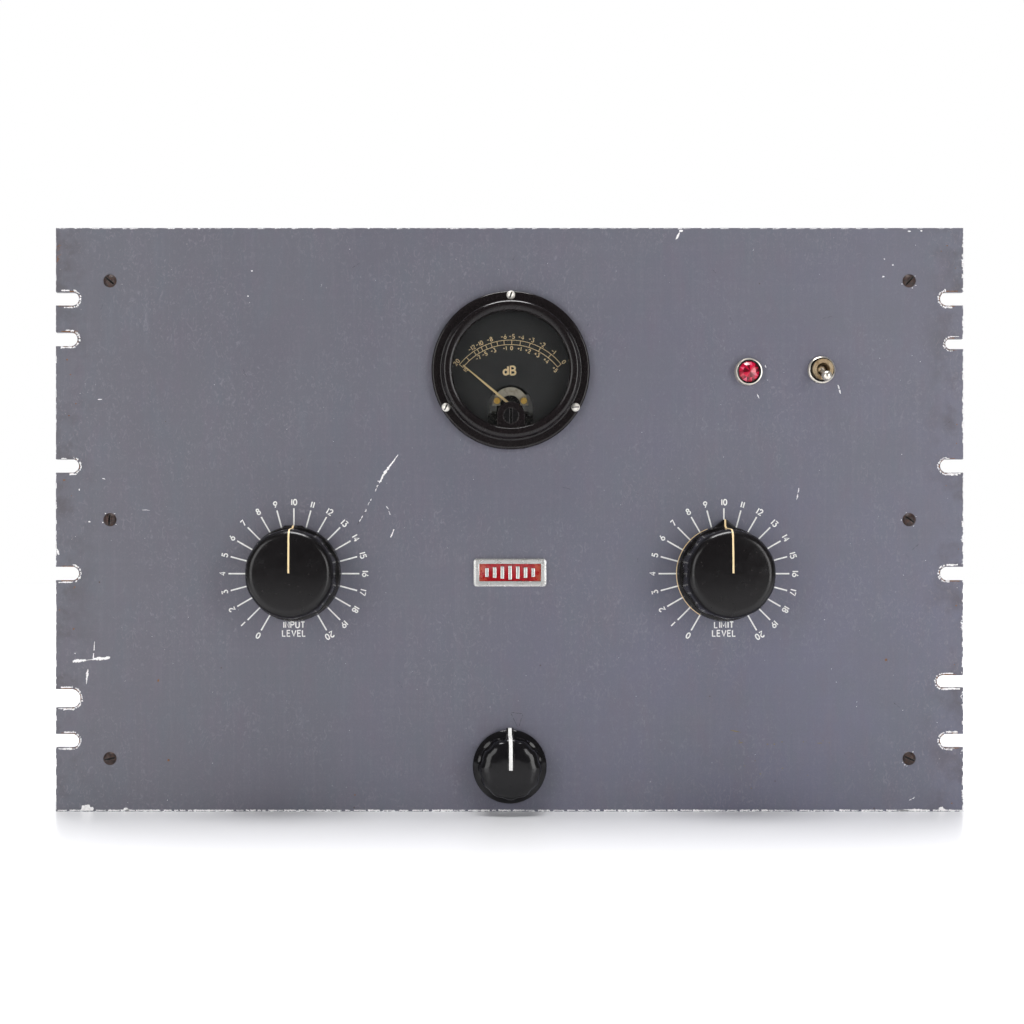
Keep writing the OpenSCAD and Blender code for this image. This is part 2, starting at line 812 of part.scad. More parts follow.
// Threaded neck with its mounting plate and back nut
module toggle_bushing() {
    nut_h = 2.5;
    mouth_r = 3.5;
    flare = (mouth_r - toggle_bore_r) / toggle_bushing_l;
    color("tan") on_panel(toggle_at) difference() {
        union() {
            translate([0, 0, toggle_plate_z])
                cylinder(r = toggle_bushing_r, h = toggle_bushing_l - toggle_plate_z);
            translate([-toggle_plate[0] / 2, -toggle_plate[1] / 2, toggle_plate_z + gap])
                cube(toggle_plate);
            translate([0, 0, -panel_t - nut_h - 0.1]) cylinder(d = 16, h = nut_h, $fn = 6);
        }
        cylinder(r1 = toggle_bore_r, r2 = mouth_r + flare, h = toggle_bushing_l + 1);
        translate([0, 0, toggle_plate_z - 1]) cylinder(r = toggle_bore_r, h = 1.01 - toggle_plate_z);
    }
}

module toggle_ring_nut() {
    nut_r = 7.2;
    nut_h = 2.2;
    bevel = 0.7;
    color("silver") on_panel(toggle_at) rotate_extrude() polygon([[toggle_bushing_r + gap, 0], [nut_r, 0],
        [nut_r, nut_h - bevel], [nut_r - bevel, nut_h], [toggle_bushing_r + gap, nut_h]]);
}

// Lever on its ball pivot, which sits level with the panel's face
module toggle_lever() {
    root_r = 1.1;
    neck_r = 2;
    pivot_r = 2.5;
    tail_l = 3;
    color("gainsboro") on_panel(toggle_at) rotate([toggle_tilt, 0, 0]) {
        cylinder(r1 = root_r, r2 = neck_r, h = toggle_lever_l, $fn = 40);
        translate([0, 0, toggle_lever_l]) sphere(toggle_tip_r, $fn = 40);
        sphere(pivot_r, $fn = 40);
        translate([0, 0, -tail_l]) cylinder(r = 1.2, h = tail_l, $fn = 32);
    }
}

// ---- Pilot lamp ----

module pilot_bezel() {
    seat = jewel_r + gap;
    bore_r = 5.2;
    tube_l = 12;
    floor_t = 0.6;
    rim_r = 7.2;
    bead_r = 0.7;
    color("silver") on_panel(pilot_at) rotate_extrude() polygon(concat(
        [[bore_r, -tube_l], [pilot_tube_r, -tube_l], [pilot_tube_r, 0], [rim_r, 0]],
        arc(rim_r - bead_r, 2.9, bead_r, 0, 150, 5), [[seat, 3], [seat, floor_t], [bore_r, floor_t]]));
}

// Domed jewel seated in the bezel
module pilot_jewel() {
    crown = 5.6;
    base = 0.7;
    rim = 3.1;
    ball = (jewel_r * jewel_r + (crown - rim) * (crown - rim)) / (2 * (crown - rim));
    color("crimson") on_panel(pilot_at) translate([0, 0, base]) intersection() {
        translate([0, 0, crown - base - ball]) sphere(ball);
        cylinder(r = jewel_r, h = crown - base);
    }
}

// Lamp tube behind the panel with its nut, floor and two lugs
module pilot_socket() {
    tube_r = pilot_tube_r + 1;
    nut_h = 2.6;
    floor_z = -34;
    lug = [2, 0.8, 7];
    color("silver") on_panel(pilot_at) {
        translate([0, 0, -panel_t - nut_h]) hex_nut(17, nut_h - gap, pilot_tube_r + gap);
        translate([0, 0, floor_z]) tube_ring(tube_r, pilot_tube_r + gap, -floor_z - panel_t - nut_h);
        translate([0, 0, floor_z - 1.2]) cylinder(r = tube_r, h = 1.2);
        for (x = [-1, 1]) translate([x * 4 - lug[0] / 2, -lug[1] / 2, floor_z - 8]) cube(lug);
    }
}

module pilot_lamp() {
    cap_z = -33;
    cap_l = 14;
    neck_l = 8;
    bulb_r = 4;
    color("gold") on_panel(pilot_at) translate([0, 0, cap_z]) {
        cylinder(r = bulb_r + 0.4, h = cap_l);
        translate([0, 0, cap_l]) cylinder(r = bulb_r, h = neck_l);
        translate([0, 0, cap_l + neck_l]) sphere(bulb_r);
    }
}

// ---- Chassis and rear parts ----

module pan_hole(at, r) {
    on_chassis(at) translate([0, 0, -5]) cylinder(r = r, h = 10);
}

module pan_cutouts() {
    for (p = all_tube_spots) pan_hole(p, socket_r + 0.2);
    for (p = filter_spots) pan_hole(p, 13);
    pan_hole(balance_at, bushing_r + 0.1);
    pan_hole(fuse_at, fuse_r + 0.4);
    for (s = [[audio_strip_at, audio_ways], [power_strip_at, power_ways]]) {
        on_chassis(s[0]) translate([0, 0, -2]) cube([s[1] * strip_pitch - 8, 9, 10], center = true);
    }
    for (s = transformer_screw_spots) pan_hole(s, foot_hole_r);
    for (s = strip_screw_spots) pan_hole(s, 1.9);
}

module chassis_pan() {
    color("darkgray") difference() {
        union() {
            difference() {
                translate([-pan_w / 2, 0, -pan_h / 2]) cube([pan_w, pan_d, pan_h]);
                translate([sheet - pan_w / 2, -1, sheet - pan_h / 2])
                    cube([pan_w - 2 * sheet, pan_d + 1 - sheet, pan_h - 2 * sheet]);
            }
            for (side = [0, 1]) mirror([side, 0, 0]) {
                translate([pan_w / 2 - gap, 0, -pan_h / 2]) cube([flange_w + gap, sheet, pan_h]);
            }
        }
        for (s = panel_screw_spots) {
            on_panel([s[0] * screw_span / 2, s[1] * screw_rise]) translate([0, 0, -panel_t - 5])
                cylinder(r = panel_screw_r + 0.2, h = 10);
        }
        pan_cutouts();
    }
}

function corners(at, w, h) = [for (x = [-1, 1], z = [-1, 1]) [at[0] + x * w / 2, at[1] + z * h / 2]];

foot_t = 1.6;
power_foot = [power_core_w + 12, power_stack - 16];
small_foot = [small_can_size[0] - 10, small_can_size[1] + 12];
output_foot = [output_can_size[0] - 14, output_can_size[1] + 12];
choke_foot = choke_size[0] + 14;
transformer_screw_spots = concat(corners(power_at, power_foot[0], power_foot[1]),
    [for (p = small_can_spots) each corners(p, small_foot[0], small_foot[1])],
    corners(output_at, output_foot[0], output_foot[1]),
    [choke_at - [choke_foot / 2, 0], choke_at + [choke_foot / 2, 0]]);

function strip_l(ways) = ways * strip_pitch + 2 * strip_end;
function strip_screws(at, ways) =
    [for (s = [-1, 1]) at + [s * (strip_l(ways) / 2 - strip_screw_inset), 0]];
strip_screw_spots = concat(strip_screws(audio_strip_at, audio_ways),
    strip_screws(power_strip_at, power_ways));

// Box whose long edges are rounded on the sides and round the top
module soft_box(w, d, h, r) {
    intersection() {
        linear_extrude(h) rounded_rect(w, d, r);
        rotate([90, 0, 0]) translate([0, 0, -d / 2]) linear_extrude(d) union() {
            translate([0, h / 2]) rounded_rect(w, h, r);
            translate([-w / 2, 0]) square([w, h / 2]);
        }
    }
}

// Lamination stack with the two mounting feet
module power_core() {
    foot_w = power_foot[0] + 8;
    color("dimgray") on_chassis(power_at) difference() {
        translate([0, -power_stack / 2, 0]) union() {
            translate([-power_core_w / 2, 0, 0]) cube([power_core_w, power_stack, power_core_h - 4]);
            translate([-foot_w / 2, 0, 0]) cube([foot_w, power_stack, foot_t]);
        }
        for (x = [-1, 1], y = [-1, 1]) {
            translate([x * power_foot[0] / 2, y * power_foot[1] / 2, -1]) cylinder(r = foot_hole_r, h = 4);
        }
    }
}

// End bells that close the winding on both sides of the stack
module power_covers() {
    cover_h = power_core_h - 12;
    for (side = [0, 1]) {
        color([0.15, 0.15, 0.16]) on_chassis(power_at) mirror([0, side, 0])
            translate([0, power_stack / 2 + gap, 4 + cover_h / 2]) rotate([-90, 0, 0])
                soft_box(power_core_w - 10, cover_h, power_cover_t, 7);
    }
}

// Drawn steel can on a flange with four holes
module transformer_can(at, size, h, foot) {
    color([0.2, 0.21, 0.22]) on_chassis(at) difference() {
        union() {
            soft_box(size[0], size[1], h, 6);
            linear_extrude(foot_t) rounded_rect(size[0], foot[1] + 9, 3);
        }
        for (x = [-1, 1], y = [-1, 1]) {
            translate([x * foot[0] / 2, y * foot[1] / 2, -1]) cylinder(r = foot_hole_r, h = 4);
        }
    }
}

module transformer_cans() {
    for (p = small_can_spots) transformer_can(p, small_can_size, small_can_h, small_foot);
    transformer_can(output_at, output_can_size, output_can_h, output_foot);
}

// Open-frame choke: core, winding and strap
module filter_choke() {
    w = choke_size[0];
    d = choke_size[1];
    h = choke_size[2];
    stack = 18;
    leg = 11;
    yoke = 9;
    strap_t = 1.4;
    strap_d = 16;
    color("dimgray") on_chassis(choke_at) difference() {
        union() {
            translate([-w / 2, -stack / 2, 0]) cube([w, stack, h]);
            translate([-w / 2 + leg, -d / 2, yoke]) cube([w - 2 * leg, d, h - 2 * yoke]);
            translate([-w / 2 - strap_t, -strap_d / 2, 0]) cube([w + 2 * strap_t, strap_d, h + strap_t]);
            translate([-choke_foot / 2 - 6, -strap_d / 2, 0]) cube([choke_foot + 12, strap_d, foot_t]);
        }
        for (x = [-1, 1]) translate([x * choke_foot / 2, 0, -1]) cylinder(r = foot_hole_r, h = 4);
    }
}

module transformer_screws() {
    screw_r = 1.9;
    head_r = 3.6;
    head_h = 2.2;
    nut_h = 3;
    for (i = [0:len(transformer_screw_spots) - 1]) {
        s = transformer_screw_spots[i];
        color("silver") on_chassis(s) {
            translate([0, 0, foot_t]) slotted_screw(head_r, head_h, screw_r, foot_t + sheet + 6, i * 37);
            translate([0, 0, -sheet - nut_h]) hex_nut(7, nut_h - gap, screw_r + gap);
        }
    }
}

// Twist-lock cans with their crimped rims and the insulating cores below
module filter_capacitors() {
    foot_z = capacitor_wafer_t + 0.1;
    rim = 0.8;
    edge_r = 2;
    for (p = filter_spots) {
        color("silver") on_chassis(p) {
            translate([0, 0, foot_z]) cylinder(r = filter_r + rim, h = 2.4);
            translate([0, 0, foot_z]) rotate_extrude() polygon(concat([[0, 0], [filter_r, 0]],
                arc(filter_r - edge_r, filter_h - foot_z - edge_r, edge_r, 0, 90, 4),
                [[0, filter_h - foot_z]]));
            translate([0, 0, -10]) cylinder(r = 9, h = 10 + foot_z + 0.1);
        }
    }
}

module capacitor_wafers() {
    side = 42;
    for (p = filter_spots) {
        color("saddlebrown") on_chassis(p) linear_extrude(capacitor_wafer_t) difference() {
            rounded_rect(side, side, 9);
            circle(r = 10);
        }
    }
}

// Moulded socket held by a saddle plate
module tube_sockets() {
    for (p = all_tube_spots) {
        color("black") on_chassis(p) difference() {
            union() {
                translate([0, 0, socket_top - socket_h]) cylinder(r = socket_r, h = socket_h);
                cylinder(r = saddle_r, h = saddle_t);
            }
            translate([0, 0, -10]) cylinder(r = key_r + 0.1, h = 14, $fn = 32);
        }
    }
}

// Moulded base with its locating key, on top of a socket
module tube_base(h) {
    translate([0, 0, socket_top - 10]) cylinder(r = key_r, h = 11, $fn = 32);
    translate([0, 0, socket_top]) cylinder(r = tube_base_r, h = h - socket_top);
}

module metal_tubes() {
    base_top = 12;
    crimp_r = 16.6;
    crimp_t = 2.6;
    shell_r = 13.4;
    edge_r = 3;
    for (p = metal_tube_spots) {
        color([0.13, 0.13, 0.14]) on_chassis(p) {
            tube_base(base_top);
            rotate_extrude() polygon(concat([[0, base_top], [crimp_r, base_top],
                [crimp_r, base_top + crimp_t], [shell_r, base_top + 4]],
                arc(shell_r - edge_r, metal_tube_h - 6, edge_r, 0, 80, 5),
                [[5, metal_tube_h - 2], [4, metal_tube_h], [0, metal_tube_h]]));
        }
    }
}

module glass_tube_bases() {
    for (t = glass_tubes) {
        color([0.2, 0.12, 0.08]) on_chassis(t[0]) tube_base(tube_base_h);
    }
}

// Glass outline: shoulder, straight side and dome
function bulb_outline(r, top) =
    concat([[r, tube_base_h]], arc(r / 2, top - r / 2, r / 2, 0, 82, 6), [[0, top]]);

module glass_tube_envelopes() {
    wall = 0.9;
    for (t = glass_tubes) {
        color("lightcyan", 0.35) on_chassis(t[0]) difference() {
            rotate_extrude() polygon(concat([[0, tube_base_h]], bulb_outline(t[1], t[2])));
            translate([0, 0, -gap]) rotate_extrude()
                polygon(concat([[0, tube_base_h]], bulb_outline(t[1] - wall, t[2] - wall)));
        }
    }
}

// Stem, two mica discs and the anode between them
module glass_tube_plates() {
    stem_h = 8;
    mica_t = 0.6;
    top_room = 25.4;
    anode = [16, 10];
    for (t = glass_tubes) {
        mica_r = t[1] - 2.4;
        anode_z = tube_base_h + stem_h + mica_t;
        anode_top = t[2] - top_room;
        color("gray") on_chassis(t[0]) {
            translate([0, 0, tube_base_h]) cylinder(r = 6, h = stem_h);
            translate([0, 0, tube_base_h + stem_h]) cylinder(r = mica_r, h = mica_t);
            translate([-anode[0] / 2, -anode[1] / 2, anode_z])
                cube([anode[0], anode[1], anode_top - anode_z]);
            translate([0, 0, anode_top]) cylinder(r = mica_r, h = mica_t);
        }
    }
}

// Barrier strip: base, raised fences between the ways, and solder lugs inside the pan
module barrier_strip(at, ways) {
    length = strip_l(ways);
    fence = [1.8, strip_h, 12];
    color([0.1, 0.1, 0.1]) on_chassis(at) difference() {
        union() {
            translate([-length / 2, -strip_h / 2, 0]) cube([length, strip_h, strip_base_t]);
            for (i = [0:ways]) {
                translate([(i - ways / 2) * strip_pitch - fence[0] / 2, -strip_h / 2, 0]) cube(fence);
            }
        }
        for (x = [-1, 1]) {
            translate([x * (length / 2 - strip_screw_inset), 0, -1]) cylinder(r = 1.9, h = 8);
        }
        for (i = [0:ways - 1], y = [-1, 1]) {
            translate([(i - (ways - 1) / 2) * strip_pitch, y * strip_row, 1.5])
                cylinder(r = way_screw_r + gap, h = 5, $fn = 24);
        }
    }
}

module terminal_strips() {
    barrier_strip(audio_strip_at, audio_ways);
    barrier_strip(power_strip_at, power_ways);
}

module terminal_screws() {
    head_r = 3;
    for (s = [[audio_strip_at, audio_ways], [power_strip_at, power_ways]]) {
        for (i = [0:s[1] - 1], y = [-1, 1]) {
            color("goldenrod") on_chassis(s[0])
                translate([(i - (s[1] - 1) / 2) * strip_pitch, y * strip_row, strip_base_t])
                slotted_screw(head_r, 1.7, way_screw_r, 3.3, i * 49 + y * 20);
        }
    }
    for (s = strip_screw_spots) {
        color("silver") on_chassis(s) translate([0, 0, strip_base_t])
            slotted_screw(head_r, 1.8, 1.7, 12, s[0]);
    }
}

// Fuse holder with its flange, domed cap and back nut
module fuse_holder() {
    body_l = 36;
    flange = [9, 2.4];
    cap_r = 7.4;
    cap_h = 9;
    nut_h = 4;
    color([0.1, 0.09, 0.09]) on_chassis(fuse_at) {
        translate([0, 0, -body_l]) cylinder(r = fuse_r, h = body_l + 1);
        cylinder(r = flange[0], h = flange[1]);
        translate([0, 0, flange[1]]) cylinder(r = cap_r, h = cap_h);
        translate([0, 0, flange[1] + cap_h - 0.4]) intersection() {
            translate([0, 0, -14]) sphere(16);
            cylinder(r = cap_r, h = 3);
        }
        translate([0, 0, -sheet - nut_h]) cylinder(d = 19, h = nut_h - gap, $fn = 6);
    }
}

module balance_control() {
    body = [12, 12 - gap];
    nut_d = 16;
    color("gainsboro") on_chassis(balance_at) difference() {
        union() {
            translate([0, 0, -sheet - 12]) cylinder(r = body[0], h = body[1]);
            translate([0, 0, -sheet - 1]) cylinder(r = bushing_r, h = sheet + 7);
            cylinder(d = nut_d, h = control_nut_h, $fn = 6);
        }
        translate([0, 0, -sheet - 9]) cylinder(r = shaft_r + gap, h = 30);
    }
}

// Screwdriver-slotted shaft
module balance_shaft() {
    slot_w = 1.2;
    color("lightsteelblue") on_chassis(balance_at) difference() {
        translate([0, 0, -sheet - 8.8]) cylinder(r = shaft_r, h = sheet + 20);
        translate([-slot_w / 2, -5, 9.6]) cube([slot_w, 10, 4]);
    }
}

// ---- Parts inside the pan ----

module tag_board() {
    post_x = board_size[0] / 2 - 6;
    post_r = 3;
    board_t = 2;
    color("peru") translate([board_at[0], board_y, board_at[1]]) {
        rotate([90, 0, 0]) linear_extrude(board_t, center = true) difference() {
            square(board_size, center = true);
            for (x = [-1, 1]) translate([x * post_x, 0]) circle(r = 2);
        }
    }
    for (x = [-1, 1]) {
        color("silver") translate([board_at[0] + x * post_x, board_y + board_t / 2, board_at[1]])
            rotate([-90, 0, 0]) cylinder(r = post_r, h = pan_d - sheet - board_y - board_t / 2, $fn = 32);
    }
}

// Resistors and paper capacitors side by side across the board
module board_parts() {
    row_l = board_size[0] - 30;
    lead = [0.5, 30];
    capacitor = [5.4, 24];
    resistor = [3, 15];
    for (i = [0:board_parts_count - 1]) {
        big = i % 3 == 1;
        size = big ? capacitor : resistor;
        x = board_at[0] - row_l / 2 + i * row_l / (board_parts_count - 1);
        color(big ? "wheat" : "saddlebrown") translate([x, board_y - 1.2 - size[0], board_at[1]]) {
            cylinder(r = size[0], h = size[1], center = true, $fn = 32);
            cylinder(r = lead[0], h = lead[1], center = true, $fn = 16);
        }
    }
}

front_panel();
panel_screws();
panel_nuts();
badge_frame();
badge_enamel();
meter_case();
meter_glass();
meter_dial();
meter_needle();
meter_bridge();
meter_magnet();
meter_zero_adjuster();
meter_base();
meter_terminals();
meter_screws();
meter_nuts();
gain_knob();
gain_setscrew();
gain_rotor();
gain_contact_plate();
gain_can();
limiter_knob();
limiter_setscrew();
limiter_rotor();
limiter_contact_plate();
limiter_can();
selector_knob();
selector_setscrew();
selector_rotor();
selector_wafer();
selector_frame();
control_nuts();
toggle_case();
toggle_bushing();
toggle_ring_nut();
toggle_lever();
pilot_bezel();
pilot_jewel();
pilot_socket();
pilot_lamp();
chassis_pan();
power_core();
power_covers();
transformer_cans();
filter_choke();
transformer_screws();
filter_capacitors();
capacitor_wafers();
tube_sockets();
metal_tubes();
glass_tube_bases();
glass_tube_envelopes();
glass_tube_plates();
terminal_strips();
terminal_screws();
fuse_holder();
balance_control();
balance_shaft();
tag_board();
board_parts();
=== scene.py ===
"""Looks for the rack compressor: materials, wear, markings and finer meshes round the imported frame."""
import json
import random
from math import acos, copysign, cos, hypot, pi, radians, sin, sqrt

import bmesh
import bpy
from mathutils import Matrix, Vector


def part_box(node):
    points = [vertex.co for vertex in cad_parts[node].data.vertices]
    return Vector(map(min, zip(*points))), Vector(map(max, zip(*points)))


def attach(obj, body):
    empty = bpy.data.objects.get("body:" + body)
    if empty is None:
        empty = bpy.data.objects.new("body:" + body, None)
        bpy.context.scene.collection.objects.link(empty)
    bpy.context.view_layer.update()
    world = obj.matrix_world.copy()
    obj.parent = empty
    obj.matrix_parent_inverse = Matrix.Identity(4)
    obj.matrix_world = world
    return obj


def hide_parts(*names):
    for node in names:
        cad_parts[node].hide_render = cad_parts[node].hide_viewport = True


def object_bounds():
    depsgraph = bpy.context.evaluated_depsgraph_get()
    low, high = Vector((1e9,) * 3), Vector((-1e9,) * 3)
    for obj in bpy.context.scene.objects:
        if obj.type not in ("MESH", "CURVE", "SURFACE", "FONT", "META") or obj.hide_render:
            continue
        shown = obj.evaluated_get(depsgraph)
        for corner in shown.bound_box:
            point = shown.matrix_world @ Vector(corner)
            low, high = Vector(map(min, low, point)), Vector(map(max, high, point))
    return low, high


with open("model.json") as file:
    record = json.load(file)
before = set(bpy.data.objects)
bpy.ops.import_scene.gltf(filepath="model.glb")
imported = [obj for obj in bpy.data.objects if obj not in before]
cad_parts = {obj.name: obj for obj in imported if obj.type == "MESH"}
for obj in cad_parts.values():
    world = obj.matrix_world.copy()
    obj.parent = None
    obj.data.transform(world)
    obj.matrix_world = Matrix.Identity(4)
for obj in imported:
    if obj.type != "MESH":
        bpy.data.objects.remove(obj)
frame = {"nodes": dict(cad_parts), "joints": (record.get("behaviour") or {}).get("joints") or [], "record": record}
CAD_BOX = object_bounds()
MM = 0.001
UNIT = "unit"


# ---------------------------------------------------------------- node material helpers

def srgb(red, green, blue):
    """A colour given as 0..255 display values, as linear RGBA."""
    def linear(value):
        value /= 255
        return value / 12.92 if value <= 0.04045 else ((value + 0.055) / 1.055) ** 2.4
    return (linear(red), linear(green), linear(blue), 1.0)


class Look:
    """One procedural material under construction. Its methods add nodes and return their output sockets."""

    def __init__(self, name, color, roughness=0.5, metallic=0.0, coat=0.0):
        self.material = bpy.data.materials.new(name)
        self.material.use_nodes = True
        self.tree = self.material.node_tree
        self.tree.nodes.clear()
        self.out = self.node("OutputMaterial")
        self.shader = self.node("BsdfPrincipled")
        self.feed(self.out.inputs["Surface"], self.shader.outputs[0])
        self.place = self.node("TexCoord").outputs["Object"]
        for setting, value in (("Base Color", color), ("Roughness", roughness), ("Metallic", metallic),
                               ("Coat Weight", coat), ("Coat Roughness", 0.15)):
            self.set(setting, value)

    def node(self, kind, **values):
        """A new shader node, with inputs given by name."""
        made = self.tree.nodes.new("ShaderNode" + kind)
        for name, value in values.items():
            self.feed(made.inputs[name], value)
        return made

    def feed(self, socket, value):
        """Links a socket, or sets a plain value."""
        if isinstance(value, bpy.types.NodeSocket):
            self.tree.links.new(value, socket)
        else:
            socket.default_value = value

    def set(self, name, value):
        self.feed(self.shader.inputs[name], value)

    def noise(self, size, detail=4.0, rough=0.55, stretch=(1, 1, 1), distortion=0.0, shift=0.0):
        """Fractal noise whose features are about size millimetres across."""
        offset = (shift, shift * 0.7, -shift)
        mapping = self.node("Mapping", Vector=self.place, Scale=stretch, Location=offset)
        cloud = self.node("TexNoise", Vector=mapping.outputs[0], Scale=1 / MM / size, Detail=detail,
                          Roughness=rough, Distortion=distortion)
        return cloud.outputs["Fac"]

    def spots(self, size):
        """Distance to the nearest of scattered points about size millimetres apart."""
        return self.node("TexVoronoi", Vector=self.place, Scale=1 / MM / size).outputs["Distance"]

    def ramp(self, value, low, high, bottom=0.0, top=1.0):
        """Maps low..high of value to bottom..top, clamped."""
        node = self.node("MapRange", **{"Value": value, "From Min": low, "From Max": high, "To Min": bottom,
                                        "To Max": top})
        node.interpolation_type = "SMOOTHSTEP"
        return node.outputs[0]

    def math(self, kind, first, second=0.0):
        node = self.node("Math")
        node.operation = kind
        self.feed(node.inputs[0], first)
        self.feed(node.inputs[1], second)
        return node.outputs[0]

    def times(self, first, second):
        return self.math("MULTIPLY", first, second)

    def plus(self, first, second):
        return self.math("ADD", first, second)

    def minus(self, first, second):
        return self.math("SUBTRACT", first, second)

    def axis(self, letter):
        """The object coordinate along one axis, in metres."""
        return self.node("SeparateXYZ", Vector=self.place).outputs[letter]

    def forward(self):
        """How squarely a face looks forwards or backwards, 0..1."""
        parts = self.node("SeparateXYZ", Vector=self.node("NewGeometry").outputs["True Normal"])
        return self.math("ABSOLUTE", parts.outputs["Y"])

    def mix(self, factor, first, second):
        node = self.node("Mix")
        node.data_type = "RGBA"
        for name, value in (("Factor", factor), ("A", first), ("B", second)):
            self.feed(node.inputs[name], value)
        return node.outputs["Result"]

    def edges(self, width):
        """1 near sharp edges, within about width millimetres, else 0."""
        least, most = 0.015, 0.15
        bevel = self.node("Bevel", Radius=width * MM)
        bevel.samples = 4
        dot = self.node("VectorMath")
        dot.operation = "DOT_PRODUCT"
        self.feed(dot.inputs[0], bevel.outputs[0])
        self.feed(dot.inputs[1], self.node("NewGeometry").outputs["Normal"])
        return self.ramp(self.minus(1.0, dot.outputs["Value"]), least, most)

    def crevice(self, reach):
        """1 deep in the piece's own corners and slots, within about reach millimetres, else 0: ambient occlusion,
        the mask for painted shade.
        """
        node = self.node("AmbientOcclusion", Distance=reach * MM)
        node.samples = 3
        node.only_local = True
        return self.ramp(node.outputs["AO"], 0.85, 0.5)

    def bump(self, height, depth, strength=1.0):
        """Bump whose full height range is depth millimetres."""
        relief = self.node("Bump", Strength=strength, Distance=depth * MM, Height=height)
        self.set("Normal", relief.outputs[0])

    def done(self, color, roughness, height, depth, strength=1.0):
        """The material, once its colour, roughness and bump are set."""
        self.set("Base Color", color)
        self.set("Roughness", roughness)
        self.bump(height, depth, strength)
        return self.material


# ---------------------------------------------------------------- materials

PANEL_LOW, PANEL_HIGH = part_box("front_panel")
PANEL_FRONT = PANEL_LOW.y
PANEL_GREY = srgb(99, 98, 107)


def shade(color, red, green, blue):
    """A colour with each channel scaled."""
    return (color[0] * red, color[1] * green, color[2] * blue, 1.0)


def edge_chips_mask(look):
    """1 where paint is knocked off along the panel's outer edges, most at the bottom and the right."""
    half_w = PANEL_HIGH.x
    half_h = PANEL_HIGH.z
    across = look.minus(half_w, look.math("ABSOLUTE", look.axis("X")))
    up = look.minus(half_h, look.math("ABSOLUTE", look.axis("Z")))
    inward = look.times(look.math("MINIMUM", across, up), 1 / MM)
    low_side = look.ramp(look.axis("Z"), half_h * 0.8, -half_h * 0.97, 0.4, 1.0)
    right_side = look.ramp(look.axis("X"), half_w * 0.9, half_w * 0.99, 0.0, 0.8)
    density = look.plus(low_side, right_side)
    ragged = look.ramp(look.noise(2.4, 5, 0.7, shift=2.0), 0.46, 0.72, 0.0, 1.25)
    patchy = look.ramp(look.noise(11, 3, 0.6, shift=6.0), 0.36, 0.6, 0.25, 1.0)
    reach = look.times(look.times(ragged, patchy), density)
    return look.ramp(look.minus(inward, reach), 0.1, -0.1)


